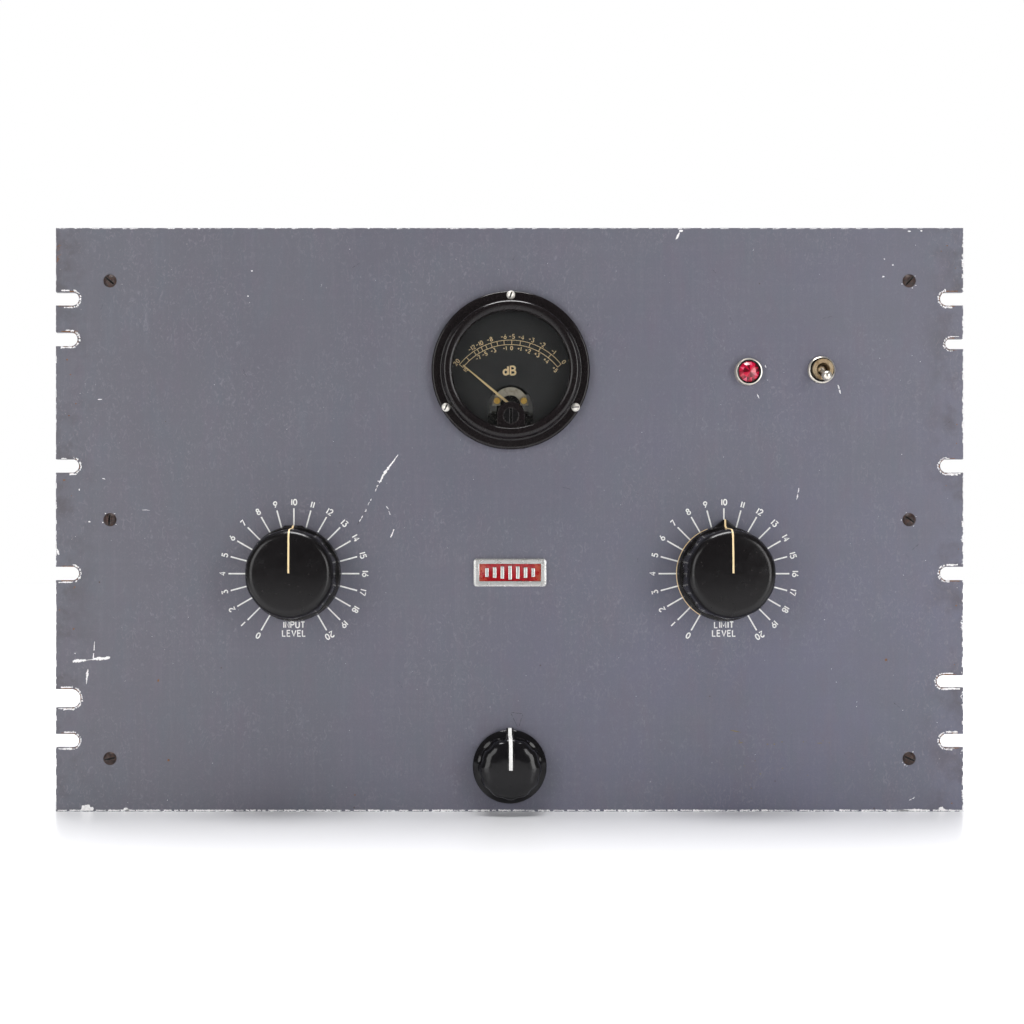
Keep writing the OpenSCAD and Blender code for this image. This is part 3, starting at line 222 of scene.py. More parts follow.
def panel_paint():
    """Old air-dried grey enamel: cloudy, faintly brushed, speckled, darker at the left and lighter and bluer
    towards the right and bottom right, grimy near both side edges, chipped at edges.
    """
    look = Look("panel_paint", PANEL_GREY, 0.46)
    left_to_right = look.ramp(look.axis("X"), PANEL_LOW.x, PANEL_HIGH.x)
    top_to_bottom = look.ramp(look.axis("Z"), PANEL_HIGH.z, PANEL_LOW.z)
    drift = look.mix(left_to_right, PANEL_GREY, shade(PANEL_GREY, 1.05, 1.06, 1.16))
    lower = look.times(top_to_bottom, left_to_right)
    base = look.mix(lower, drift, shade(PANEL_GREY, 1.02, 1.05, 1.24))
    cloud = look.ramp(look.noise(60, 5, 0.6), 0.35, 0.7)
    base = look.mix(look.times(cloud, 0.5), base, shade(PANEL_GREY, 0.97, 1.03, 1.02))
    pinkish = look.noise(9, 5, 0.65, stretch=(1.0, 1, 0.35), shift=1.5)
    bluish = look.noise(10, 5, 0.65, stretch=(0.9, 1, 0.3), shift=8.5)
    base = look.mix(look.ramp(pinkish, 0.45, 0.72, 0.0, 0.35), base, shade(PANEL_GREY, 1.14, 1.0, 1.08))
    base = look.mix(look.ramp(bluish, 0.45, 0.72, 0.0, 0.35), base, shade(PANEL_GREY, 0.92, 1.08, 1.1))
    brushed_across = look.noise(7, 4, 0.6, stretch=(0.1, 1, 2.6), distortion=0.3)
    brushed_down = look.noise(5, 4, 0.6, stretch=(2.6, 1, 0.08), distortion=0.3, shift=3.0)
    fine = look.noise(0.8, 3, 0.7)
    streaks = look.plus(look.times(brushed_across, 0.4), look.times(brushed_down, 0.6))
    base = look.mix(look.ramp(streaks, 0.48, 0.68, 0.0, 0.16), base, shade(PANEL_GREY, 1.5, 1.5, 1.5))
    base = look.mix(look.ramp(fine, 0.42, 0.7, 0.0, 0.22), base, shade(PANEL_GREY, 0.72, 0.72, 0.72))
    curls = look.noise(2.6, 4, 0.75, stretch=(1.0, 1, 0.6), distortion=2.2, shift=14.0)
    thick = look.ramp(look.noise(45, 2, 0.5, shift=21.0), 0.38, 0.62, 0.3, 0.9)
    base = look.mix(look.times(look.ramp(curls, 0.52, 0.7), thick), base, shade(PANEL_GREY, 1.55, 1.52, 1.5))
    margin = look.ramp(look.math("ABSOLUTE", look.axis("X")), PANEL_HIGH.x * 0.88, PANEL_HIGH.x)
    grime = look.times(margin, look.ramp(look.noise(16, 6, 0.65, shift=9.0), 0.42, 0.68))
    base = look.mix(look.times(grime, 0.5), base, shade(PANEL_GREY, 0.5, 0.42, 0.36))
    specks = look.ramp(look.spots(5.5), 0.06, 0.03)
    speck_pick = look.ramp(look.noise(20, 2, 0.5, shift=5.0), 0.5, 0.58)
    base = look.mix(look.times(look.times(specks, speck_pick), 0.45), base, srgb(176, 174, 178))
    rust_specks = look.ramp(look.spots(17), 0.035, 0.015)
    rust_pick = look.ramp(look.noise(34, 2, 0.5, shift=12.0), 0.5, 0.56)
    base = look.mix(look.times(look.times(rust_specks, rust_pick), 0.8), base, srgb(74, 54, 38))
    worn = edge_chips_mask(look)
    base = look.mix(worn, base, srgb(232, 232, 234))
    bare = look.ramp(look.noise(2.2, 4, 0.6, shift=3.0), 0.38, 0.7)
    rubbed = look.mix(bare, srgb(124, 124, 127), PANEL_GREY)
    base = look.mix(look.ramp(look.forward(), 0.7, 0.3), base, rubbed)
    look.set("Base Color", base)
    look.set("Roughness", look.ramp(look.plus(cloud, fine), 0.4, 1.6, 0.42, 0.56))
    look.set("Metallic", look.times(worn, 0.1))
    relief = look.plus(look.times(streaks, 0.7), look.times(fine, 0.3))
    look.bump(look.minus(relief, look.times(worn, 0.5)), 0.05, 0.3)
    return look.material


def phenolic(name, color, roughness, shine):
    """Moulded phenolic: faint mottling, dust in the roughness, edges rubbed a little lighter."""
    look = Look(name, color, roughness)
    mottled = look.noise(1.2, 5, 0.7)
    light = tuple(min(1.0, channel * 1.8 + 0.003) for channel in color[:3]) + (1.0,)
    base = look.mix(look.ramp(mottled, 0.35, 0.75, 0.0, 0.55), color, light)
    dust = look.ramp(look.spots(2.6), 0.13, 0.05)
    dust = look.times(dust, look.ramp(look.noise(9, 3, 0.6, shift=2), 0.45, 0.6))
    base = look.mix(look.times(dust, 0.22), base, srgb(120, 112, 108))
    rubbed = look.times(look.edges(0.8), look.ramp(look.noise(2.2, 3), 0.35, 0.65))
    base = look.mix(look.times(rubbed, 0.3), base, srgb(112, 106, 104))
    look.set("Specular IOR Level", 0.3)
    rough = look.ramp(look.noise(6, 5, 0.6, shift=4), 0.3, 0.7, roughness - shine, roughness + shine)
    return look.done(base, rough, look.noise(0.5, 3, 0.6), 0.008, 0.3)


def bright_metal(name, color, roughness, age, tarnish, metallic=1.0):
    """Plated or bare metal with clouded tarnish that grows with age, 0..1, and painted shade in its own hollows.
    """
    look = Look(name, color, roughness, metallic)
    clouded = look.ramp(look.noise(4.5, 6, 0.65), 0.62 - 0.3 * age, 0.85 - 0.25 * age)
    pits = look.ramp(look.noise(0.8, 4, 0.7, shift=6), 0.66 - 0.18 * age, 0.78)
    base = look.mix(look.times(clouded, 0.75), color, tarnish)
    base = look.mix(look.times(pits, 0.6), base, shade(tarnish, 0.4, 0.4, 0.4))
    # painted shade: the piece's own hollows are darkened to dark brown
    crevice_shade = look.crevice(1.8)
    base = look.mix(look.times(crevice_shade, 0.85), base, srgb(34, 28, 24))
    look.set("Base Color", base)
    look.set("Roughness", look.ramp(look.plus(clouded, pits), 0.0, 1.6, roughness, roughness + 0.34))
    shine = look.ramp(pits, 0.0, 1.0, metallic, metallic * 0.55)
    # less metal sheen where the hollows are painted dark as shade
    look.set("Metallic", look.times(shine, look.minus(1.0, crevice_shade)))
    look.bump(look.noise(0.6, 4, 0.6), 0.02, 0.4 + 0.5 * age)
    return look.material


def bridge_metal():
    """Dull tan half ring with brass caps on its two posts, which stand in front of it."""
    look = Look("bridge_tan", srgb(200, 192, 176), 0.4, 0.6)
    caps = look.ramp(look.axis("Y"), PANEL_FRONT + 1.15 * MM, PANEL_FRONT + 1.05 * MM)
    aged = look.ramp(look.noise(3.0, 5, 0.6), 0.4, 0.75)
    plate = look.mix(aged, srgb(196, 188, 172), srgb(134, 122, 100))
    brass = look.mix(aged, srgb(236, 192, 92), srgb(176, 126, 50))
    # painted shade: the piece's own hollows are darkened to dark brown
    base = look.mix(look.crevice(1.2), look.mix(caps, plate, brass), srgb(40, 34, 28))
    rough = look.ramp(aged, 0.0, 1.0, 0.32, 0.5)
    return look.done(base, rough, look.noise(0.8, 4, 0.6), 0.02, 0.5)


def sunk_slot(look, node):
    """1 on the flat floor of a screw slot and on its walls, else 0, for screws whose heads face forwards; the mask
    for the slot's painted shade.
    """
    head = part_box(node)[0].y
    forward = look.forward()
    deep = look.ramp(look.axis("Y"), head + 0.2 * MM, head + 0.35 * MM)
    flat = look.times(look.ramp(forward, 0.99, 0.999), deep)
    return look.math("MAXIMUM", flat, look.ramp(forward, 0.25, 0.1))


def silver_screw():
    """Bright turned screw heads on the meter, with painted shade in their slots."""
    look = Look("silver_screw", srgb(230, 226, 218), 0.4, 0.35)
    stain = look.ramp(look.noise(1.2, 4, 0.6), 0.5, 0.75, 0.0, 0.5)
    base = look.mix(stain, srgb(232, 228, 220), srgb(150, 132, 110))
    # painted shade: the slot's floor and walls are painted near black
    base = look.mix(sunk_slot(look, "meter_screws"), base, srgb(26, 22, 20))
    rough = look.ramp(stain, 0, 0.5, 0.34, 0.55)
    return look.done(base, rough, look.noise(0.5, 4, 0.6), 0.02, 0.4)


def rusty_steel():
    """Screw heads gone brown, with darker pits, rims painted lighter as worn bare metal and as a painted
    highlight, and painted shade near black in the slots and hollows.
    """
    look = Look("rusty_screw", srgb(50, 42, 40), 0.62, 0.35)
    blotch = look.ramp(look.noise(1.5, 5, 0.7), 0.4, 0.75)
    base = look.mix(blotch, srgb(44, 35, 34), srgb(86, 62, 53))
    # rims painted lighter all round: worn bare metal and a painted highlight
    base = look.mix(look.times(look.edges(0.4), 0.4), base, srgb(140, 122, 114))
    # painted shade: the slots and the piece's own hollows are painted near black
    hollow_shade = look.math("MAXIMUM", look.crevice(1.2), sunk_slot(look, "panel_screws"))
    base = look.mix(hollow_shade, base, srgb(8, 6, 6))
    rough = look.ramp(blotch, 0, 1, 0.42, 0.78)
    return look.done(base, rough, look.noise(0.5, 5, 0.7), 0.08, 0.7)


def sheet_plating():
    """Dull cadmium plate on the chassis: yellow-grey bloom, wiped marks and small stains."""
    look = Look("plated_steel", srgb(158, 156, 146), 0.45, 0.6)
    bloom = look.ramp(look.noise(38, 6, 0.62), 0.36, 0.66)
    base = look.mix(bloom, srgb(134, 133, 128), srgb(117, 114, 104))
    wiped = look.noise(8, 4, 0.6, stretch=(0.15, 1, 1.6), distortion=0.4)
    base = look.mix(look.ramp(wiped, 0.45, 0.7, 0.0, 0.25), base, srgb(154, 153, 149))
    stains = look.times(look.ramp(look.spots(24), 0.22, 0.08),
                        look.ramp(look.noise(26, 4, shift=8), 0.5, 0.6))
    base = look.mix(look.times(stains, 0.4), base, srgb(88, 78, 64))
    worn = look.times(look.edges(1.2), look.ramp(look.noise(5, 3), 0.4, 0.6))
    base = look.mix(look.times(worn, 0.5), base, srgb(176, 175, 170))
    rough = look.ramp(look.plus(bloom, wiped), 0.4, 1.6, 0.42, 0.54)
    return look.done(base, rough, look.noise(1.6, 4, 0.6), 0.02, 0.35)


def stoved_enamel(name, color, wrinkle, gloss):
    """Sprayed enamel on cans and covers: wrinkle is the size of its texture in millimetres."""
    look = Look(name, color, gloss)
    skin = look.noise(wrinkle, 3, 0.5, distortion=0.6)
    light = tuple(c * 1.5 + 0.006 for c in color[:3]) + (1.0,)
    base = look.mix(look.ramp(skin, 0.4, 0.7, 0.0, 0.5), color, light)
    dust = look.times(look.ramp(look.noise(14, 5, 0.65, shift=7), 0.45, 0.75), 0.28)
    base = look.mix(dust, base, srgb(120, 114, 104))
    worn = look.times(look.edges(1.1), look.ramp(look.noise(3.5, 4, 0.65), 0.5, 0.6))
    base = look.mix(worn, base, srgb(150, 148, 144))
    look.set("Base Color", base)
    look.set("Roughness", look.ramp(look.plus(skin, dust), 0.3, 0.9, gloss - 0.08, gloss + 0.16))
    look.set("Metallic", look.times(worn, 0.7))
    look.bump(skin, 0.12, 0.5)
    return look.material


def drawn_aluminium():
    """Capacitor and attenuator cans: fine draw lines along the axis, dulled and fingerprinted."""
    look = Look("can_aluminium", srgb(186, 187, 188), 0.34, 0.95)
    lines = look.noise(1.2, 3, 0.6, stretch=(1, 0.03, 1))
    cloud = look.ramp(look.noise(13, 5, 0.6), 0.4, 0.7)
    base = look.mix(look.times(cloud, 0.6), srgb(188, 189, 190), srgb(140, 139, 136))
    base = look.mix(look.ramp(lines, 0.4, 0.7, 0.0, 0.25), base, srgb(214, 214, 214))
    rough = look.ramp(cloud, 0, 1, 0.26, 0.5)
    return look.done(base, rough, lines, 0.02, 0.4)


def laminate():
    """Paper-base laminate: brown, with a fine woven fleck."""
    look = Look("paper_phenolic", srgb(122, 80, 46), 0.45)
    fleck = look.noise(0.9, 4, 0.7, stretch=(1, 1, 0.25))
    base = look.mix(look.ramp(fleck, 0.35, 0.7), srgb(96, 58, 32), srgb(146, 100, 60))
    rough = look.ramp(fleck, 0.3, 0.7, 0.38, 0.55)
    return look.done(base, rough, fleck, 0.03, 0.4)


def lamination_iron():
    """Varnished core iron: dark, with rust creeping along the sheet edges."""
    look = Look("lamination_steel", srgb(62, 58, 56), 0.5, 0.55)
    rust = look.ramp(look.noise(5, 6, 0.7), 0.5, 0.78)
    base = look.mix(rust, srgb(62, 59, 58), srgb(92, 68, 52))
    rough = look.ramp(rust, 0, 1, 0.38, 0.72)
    return look.done(base, rough, look.noise(0.8, 4, 0.7), 0.04, 0.6)


def enamel_red():
    """Fired red enamel, worn through to orange and bare at the ends of the badge, with painted shade in its
    hollows.
    """
    low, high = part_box("badge_enamel")
    middle = (low.x + high.x) / 2
    reach = (high.x - low.x) / 2
    look = Look("red_enamel", srgb(150, 32, 28), 0.22, coat=0.6)
    off_centre = look.math("ABSOLUTE", look.minus(look.axis("X"), middle))
    ends = look.ramp(off_centre, reach * 0.62, reach * 1.02)
    patchy = look.times(ends, look.ramp(look.noise(2.6, 5, 0.7), 0.36, 0.6))
    base = look.mix(look.ramp(look.noise(1.4, 4, 0.6), 0.35, 0.7), srgb(136, 4, 18), srgb(170, 10, 24))
    base = look.mix(patchy, base, srgb(168, 70, 34))
    # painted shade: the enamel's own hollows are darkened to deep red
    base = look.mix(look.times(look.crevice(0.8), 0.7), base, srgb(60, 8, 10))
    rough = look.ramp(patchy, 0, 1, 0.2, 0.6)
    return look.done(base, rough, look.noise(0.9, 4), 0.04, 0.4)


def ruby():
    """Cut jewel: every facet is painted a different brightness, from black-red through crimson to pink, as painted
    glints, and the jewel has a faint painted glow.
    """
    look = Look("ruby_glass", srgb(196, 20, 60), 0.08, coat=0.3)
    snap = look.node("VectorMath")
    snap.operation = "SNAP"
    look.feed(snap.inputs[0], look.node("NewGeometry").outputs["True Normal"])
    snap.inputs[1].default_value = (0.07, 0.07, 0.07)
    facet_glint = look.node("TexWhiteNoise", Vector=snap.outputs[0]).outputs["Value"]
    depth = look.ramp(look.noise(1.3, 4, 0.65), 0.3, 0.7)
    # painted glints: each facet gets its own brightness at random, and a few get pale pink
    base = look.mix(look.ramp(facet_glint, 0.1, 0.8), srgb(84, 4, 20), srgb(206, 12, 58))
    base = look.mix(look.times(look.ramp(facet_glint, 0.86, 0.97), 0.7), base, srgb(226, 110, 140))
    base = look.mix(look.times(depth, 0.35), base, srgb(120, 4, 28))
    look.set("Base Color", base)
    # painted glow: the jewel glows faintly in its own colour, with no lit lamp inside it
    look.set("Emission Color", base)
    look.set("Emission Strength", 0.1)
    look.bump(depth, 0.02, 0.2)
    return look.material


def clear_glass(name, tint, haze):
    """Thin clear glass: sees straight through, reflects by angle, with a little dust haze."""
    look = Look(name, tint)
    look.tree.nodes.remove(look.shader)

    def layered(amount, under, over):
        """The over shader laid on the under shader by an amount."""
        node = look.node("MixShader")
        for socket, value in zip(node.inputs, (amount, under, over)):
            look.feed(socket, value)
        return node.outputs[0]

    through = look.node("BsdfTransparent", Color=tint).outputs[0]
    gloss = look.node("BsdfGlossy", Roughness=0.03).outputs[0]
    film = look.node("BsdfDiffuse", Color=srgb(214, 212, 206)).outputs[0]
    shine = layered(look.node("Fresnel", IOR=1.3).outputs[0], through, gloss)
    dust = look.times(look.noise(6.25, 6, 0.5), haze)
    look.feed(look.out.inputs["Surface"], layered(dust, shine, film))
    return look.material


def plain_paint(name, color, roughness, spread=0.35, size=2.0, relief=0.3):
    """Paint or lacquer on small parts: slightly uneven in colour, roughness and level."""
    look = Look(name, color, roughness)
    uneven = look.noise(size, 4, 0.6)
    darker = tuple(c * (1 - spread) for c in color[:3]) + (1.0,)
    base = look.mix(look.ramp(uneven, 0.45, 0.75), color, darker)
    rough = look.ramp(uneven, 0.3, 0.7, roughness - 0.06, roughness + 0.1)
    return look.done(base, rough, uneven, 0.02, relief)


MATERIALS = {
    "panel_paint": panel_paint(),
    "rusty_screw": rusty_steel(),
    "zinc": bright_metal("zinc", srgb(168, 168, 164), 0.36, 0.5, srgb(120, 112, 96)),
    "die_cast": bright_metal("die_cast", srgb(240, 239, 236), 0.24, 0.4, srgb(150, 146, 140), 0.72),
    "red_enamel": enamel_red(),
    "brown_bakelite": phenolic("brown_bakelite", srgb(20, 16, 17), 0.17, 0.04),
    "black_bakelite": phenolic("black_bakelite", srgb(15, 14, 15), 0.24, 0.06),
    "clear_glass": clear_glass("clear_glass", (0.97, 0.975, 0.97, 1.0), 0.012),
    "dial_black": plain_paint("dial_black", srgb(18, 19, 22), 0.6, 0.3, 9.0, 0.02),
    "needle_cream": plain_paint("needle_cream", srgb(226, 200, 148), 0.45, 0.2),
    "bridge_tan": bridge_metal(),
    "magnet_steel": plain_paint("magnet_steel", srgb(150, 150, 148), 0.5, 0.4, 4.0),
    "brass": bright_metal("brass", srgb(196, 164, 92), 0.3, 0.6, srgb(132, 98, 52)),
    "tarnished_brass": bright_metal("tarnished_brass", srgb(188, 168, 138), 0.4, 0.7, srgb(128, 104, 74)),
    "nickel": bright_metal("nickel", srgb(222, 216, 204), 0.3, 0.15, srgb(150, 136, 114), 0.85),
    "matte_phenolic": phenolic("matte_phenolic", srgb(15, 13, 14), 0.23, 0.05),
    "gloss_phenolic": phenolic("gloss_phenolic", srgb(15, 14, 16), 0.14, 0.04),
    "black_steel": bright_metal("black_steel", srgb(66, 66, 68), 0.4, 0.4, srgb(60, 48, 40), 0.8),
    "shaft_steel": bright_metal("shaft_steel", srgb(170, 170, 170), 0.28, 0.3, srgb(120, 110, 98)),
    "paper_phenolic": laminate(),
    "can_aluminium": drawn_aluminium(),
    "ruby_glass": ruby(),
    "plated_steel": sheet_plating(),
    "lamination_steel": lamination_iron(),
    "black_enamel": stoved_enamel("black_enamel", srgb(30, 30, 32), 1.1, 0.42),
    "grey_enamel": stoved_enamel("grey_enamel", srgb(84, 87, 92), 2.4, 0.34),
    "plate_nickel": bright_metal("plate_nickel", srgb(88, 88, 90), 0.55, 0.4, srgb(56, 54, 54), 0.7),
    "waxed_paper": plain_paint("waxed_paper", srgb(180, 146, 96), 0.5, 0.3, 6.0),
    "marking_white": plain_paint("marking_white", srgb(240, 239, 236), 0.5, 0.1, 1.5),
    "marking_cream": plain_paint("marking_cream", srgb(250, 222, 172), 0.5, 0.12, 1.5),
    "bare_chip": plain_paint("bare_chip", srgb(240, 238, 238), 0.5, 0.22, 1.2),
    "rust_chip": plain_paint("rust_chip", srgb(124, 86, 58), 0.75, 0.5, 1.0),
    "ochre_stain": plain_paint("ochre_stain", srgb(122, 108, 74), 0.7, 0.3, 1.2),
    "getter": bright_metal("getter", srgb(150, 152, 156), 0.12, 0.2, srgb(70, 62, 56)),
    "mica": plain_paint("mica", srgb(198, 190, 172), 0.3, 0.25, 5.0),
    "dark_scuff": plain_paint("dark_scuff", srgb(70, 66, 70), 0.65, 0.3, 1.2),
}
SLOT_OF = {entry["node"]: entry["material_slot"] for entry in frame["record"]["subparts"]}
BODY_OF = {node: body for body, nodes in frame["record"]["behaviour"]["bodies"].items() for node in nodes}

for node_name, node_object in frame["nodes"].items():
    node_object.data.materials.clear()
    node_object.data.materials.append(MATERIALS[SLOT_OF[node_name]])


# ---------------------------------------------------------------- mesh helpers

def finish_piece(piece, body, slot, stands_for=()):
    """Gives a piece its material and its body, and hides the CAD nodes that it stands for."""
    if not piece.data.materials:
        piece.data.materials.append(MATERIALS[slot])
    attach(piece, body)
    if stands_for:
        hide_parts(*stands_for)
    return piece


def in_scene(name, data):
    """A new object of the scene that shows a mesh, curve, light or camera."""
    made = bpy.data.objects.new(name, data)
    bpy.context.scene.collection.objects.link(made)
    return made


def new_object(name, mesh_builder):
    """An object whose mesh is filled by mesh_builder(bm)."""
    mesh = bpy.data.meshes.new(name)
    bm = bmesh.new()
    mesh_builder(bm)
    bmesh.ops.recalc_face_normals(bm, faces=bm.faces)
    bm.to_mesh(mesh)
    bm.free()
    return in_scene(name, mesh)


def smooth(piece, degrees=35):
    """Shades smooth, with creases where faces meet at more than the angle."""
    mesh = piece.data
    mesh.shade_smooth()
    mesh.set_sharp_from_angle(angle=radians(degrees))
    return piece


def apply_modifiers(piece):
    graph = bpy.context.evaluated_depsgraph_get()
    final = bpy.data.meshes.new_from_object(piece.evaluated_get(graph))
    piece.modifiers.clear()
    old = piece.data
    piece.data = final
    final.name = old.name
    return piece


def rounded(piece, width, segments=2, limit=32):
    """Rounds a piece's hard edges and keeps its flats flat."""
    bevel = piece.modifiers.new("round", "BEVEL")
    bevel.width = width * MM
    bevel.segments = segments
    bevel.limit_method = "ANGLE"
    bevel.angle_limit = radians(limit)
    return smooth(apply_modifiers(piece), 18)


def mesh_of(node):
    """A CAD node's mesh for editing, with its doubled points joined."""
    bm = bmesh.new()
    bm.from_mesh(frame["nodes"][node].data)
    bmesh.ops.remove_doubles(bm, verts=bm.verts, dist=0.002 * MM)
    return bm


def refined(node, width):
    """The CAD node again with its hard edges rounded, standing in for the node."""
    piece = in_scene("fine_" + node, frame["nodes"][node].data.copy())
    bm = mesh_of(node)
    bmesh.ops.dissolve_limit(bm, angle_limit=radians(0.6), verts=bm.verts, edges=bm.edges)
    bm.to_mesh(piece.data)
    bm.free()
    return finish_piece(rounded(piece, width), BODY_OF[node], SLOT_OF[node], [node])


def ring_points(radius_of, height, count):
    """One closed ring of points about the +Z axis; radius_of(angle) gives each radius in millimetres."""
    points = []
    for index in range(count):
        angle = 2 * pi * index / count
        radius = radius_of(angle)
        points.append(Vector((radius * cos(angle), radius * sin(angle), height)))
    return points


def loft(bm, rings, transform):
    """Skins closed rings of equal point counts, in millimetres, into one closed surface."""
    made = []
    for ring in rings:
        row = []
        for point in ring:
            row.append(bm.verts.new(transform @ (point * MM)))
        made.append(row)
    count = len(made[0])
    for lower, upper in zip(made, made[1:]):
        for index in range(count):
            after = (index + 1) % count
            bm.faces.new((lower[index], lower[after], upper[after], upper[index]))
    bm.faces.new(list(reversed(made[0])))
    bm.faces.new(made[-1])


def front_frame(x, z, y=PANEL_FRONT):
    """Local frame on the panel's front: +Z out towards the viewer, +Y up. x, z and y are metres."""
    return Matrix.Translation((x, y, z)) @ QUARTER_TURN


def centre(node):
    low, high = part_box(node)
    return (low + high) / 2


QUARTER_TURN = Matrix.Rotation(radians(90), 4, "X")
JOINTS = {joint["name"]: joint for joint in frame["joints"]}


# ---------------------------------------------------------------- stroke lettering

def bow(cx, cy, rx, ry, start, end, pitch=22):
    """Points along an elliptical arc, angles in degrees, one about every pitch degrees."""
    steps = max(3, int(abs(end - start) / pitch))
    angles = [radians(start + (end - start) * i / steps) for i in range(steps + 1)]
    return [(cx + rx * cos(a), cy + ry * sin(a)) for a in angles]


GLYPHS = {
    "0": [bow(0.28, 0.5, 0.28, 0.5, 90, 450)],
    "1": [[(0.12, 0), (0.12, 1)]],
    "2": [bow(0.28, 0.72, 0.27, 0.28, 165, -35) + [(0, 0), (0.58, 0)]],
    "3": [[(0.03, 1), (0.52, 1), (0.26, 0.6)] + bow(0.26, 0.3, 0.29, 0.3, 80, -150)],
    "4": [[(0.44, 0), (0.44, 1), (0, 0.3), (0.6, 0.3)]],
    "5": [[(0.54, 1), (0.09, 1), (0.05, 0.56)] + bow(0.27, 0.31, 0.29, 0.31, 120, -150)],
    "6": [bow(0.29, 0.29, 0.28, 0.29, 160, 520) + [(0.46, 1)]],
    "7": [[(0, 1), (0.56, 1), (0.18, 0)]],
    "8": [bow(0.28, 0.76, 0.22, 0.24, -90, 270), bow(0.28, 0.26, 0.28, 0.26, 90, 450)],
    "9": [bow(0.29, 0.71, 0.28, 0.29, -20, 340) + [(0.12, 0)]],
    "-": [[(0.04, 0.5), (0.46, 0.5)]],
    "+": [[(0.02, 0.5), (0.5, 0.5)], [(0.26, 0.26), (0.26, 0.74)]],
    "B": [[(0, 0), (0, 1)] + bow(0.3, 0.76, 0.24, 0.24, 90, -90) + [(0, 0.52)],
          [(0.3, 0.52)] + bow(0.32, 0.26, 0.28, 0.26, 90, -90) + [(0, 0)]],
    "E": [[(0.52, 1), (0, 1), (0, 0), (0.52, 0)], [(0, 0.52), (0.44, 0.52)]],
    "I": [[(0.1, 0), (0.1, 1)]],
    "L": [[(0, 1), (0, 0), (0.5, 0)]],
    "M": [[(0, 0), (0, 1), (0.37, 0.25), (0.74, 1), (0.74, 0)]],
    "N": [[(0, 0), (0, 1), (0.6, 0), (0.6, 1)]],
    "P": [[(0, 0), (0, 1)] + bow(0.28, 0.75, 0.27, 0.25, 90, -90) + [(0, 0.5)]],
    "T": [[(0, 1), (0.6, 1)], [(0.3, 1), (0.3, 0)]],
    "U": [[(0, 1), (0, 0.3)] + bow(0.3, 0.3, 0.3, 0.3, 180, 360) + [(0.6, 1)]],
    "V": [[(0, 1), (0.34, 0), (0.68, 1)]],
    "d": [bow(0.27, 0.3, 0.27, 0.3, 30, 390) + [(0.54, 0.3)], [(0.54, 0), (0.54, 1)]],
}
LETTER_GAP = 0.3


def glyph_width(letter):
    return max(point[0] for stroke in GLYPHS[letter] for point in stroke)


def word_strokes(word, height, place):
    """Strokes of a word centred on the origin of place, a 2D transform from millimetres to millimetres."""
    total = sum(glyph_width(letter) for letter in word) + LETTER_GAP * (len(word) - 1)
    pen = -total / 2
    strokes = []
    for letter in word:
        for stroke in GLYPHS[letter]:
            strokes.append([place((pen + x) * height, (y - 0.5) * height) for x, y in stroke])
        pen += glyph_width(letter) + LETTER_GAP
    return strokes


def upright(x, y):
    return lambda u, v: (x + u, y + v)


def radial(cx, cy, radius, clock_angle):
    """Lettering round a dial, tops outwards. clock_angle is degrees clockwise from up."""
    angle = radians(clock_angle)
    def place(u, v):
        out = radius + v
        return (cx + out * sin(angle) + u * cos(angle), cy + out * cos(angle) - u * sin(angle))
    return place


def ink(name, strokes, width, transform, body, slot, lift=0.05):
    """Painted strokes as one mesh: a flattened bead along each polyline, in millimetres on a local plane."""
    curve = bpy.data.curves.new(name, "CURVE")
    curve.dimensions = "3D"
    curve.bevel_depth = width / 2 * MM
    curve.bevel_resolution = 1
    curve.use_fill_caps = True
    for stroke in strokes:
        spline = curve.splines.new("POLY")
        spline.points.add(len(stroke) - 1)
        for point, (x, y) in zip(spline.points, stroke):
            point.co = (x * MM, y * MM, 0, 1)
    holder = in_scene(name, curve)
    graph = bpy.context.evaluated_depsgraph_get()
    mesh = bpy.data.meshes.new_from_object(holder.evaluated_get(graph))
    bpy.data.objects.remove(holder)
    bpy.data.curves.remove(curve)
    flatten = Matrix.Diagonal((1, 1, lift / (width / 2), 1))
    mesh.transform(transform @ flatten)
    mesh.materials.clear()
    return finish_piece(in_scene(name, mesh), body, slot)


def ride_spot(joint):
    """Where a joint's axis crosses the panel, as x and z in metres."""
    place = JOINTS[joint]["pos_m"]
    return place[0], place[2]


# ---------------------------------------------------------------- profiles and cuts

def arc_points(cx, cy, radius, start, end, steps=8):
    """Profile points along an arc, angles in degrees."""
    angles = [radians(start + (end - start) * i / steps) for i in range(steps + 1)]
    return [(cx + radius * cos(a), cy + radius * sin(a)) for a in angles]


def lathe_into(bm, profile, transform, count=96):
    """Adds the turned body of a closed profile of (radius, height) points, in millimetres."""
    rows = []
    for radius, height in profile:
        if radius < 0.001:
            rows.append([bm.verts.new(transform @ (Vector((0, 0, height)) * MM))])
        else:
            ring = ring_points(lambda angle: radius, height, count)
            rows.append([bm.verts.new(transform @ (point * MM)) for point in ring])
    pairs = list(zip(rows, rows[1:]))
    if profile[0][0] >= 0.001 or profile[-1][0] >= 0.001:
        pairs.append((rows[-1], rows[0]))
    for lower, upper in pairs:
        for i in range(count):
            j = (i + 1) % count
            if len(lower) == 1 and len(upper) > 1:
                bm.faces.new((lower[0], upper[j], upper[i]))
            elif len(upper) == 1 and len(lower) > 1:
                bm.faces.new((lower[i], lower[j], upper[0]))
            elif len(lower) > 1:
                bm.faces.new((lower[i], lower[j], upper[j], upper[i]))


def turned(name, profile, places, body, slot, stands_for=(), count=96):
    """One piece made of the same turned body at each place, a transform."""
    def build(bm):
        for place in places:
            lathe_into(bm, profile, place, count)
    return finish_piece(smooth(new_object(name, build)), body, slot, stands_for)


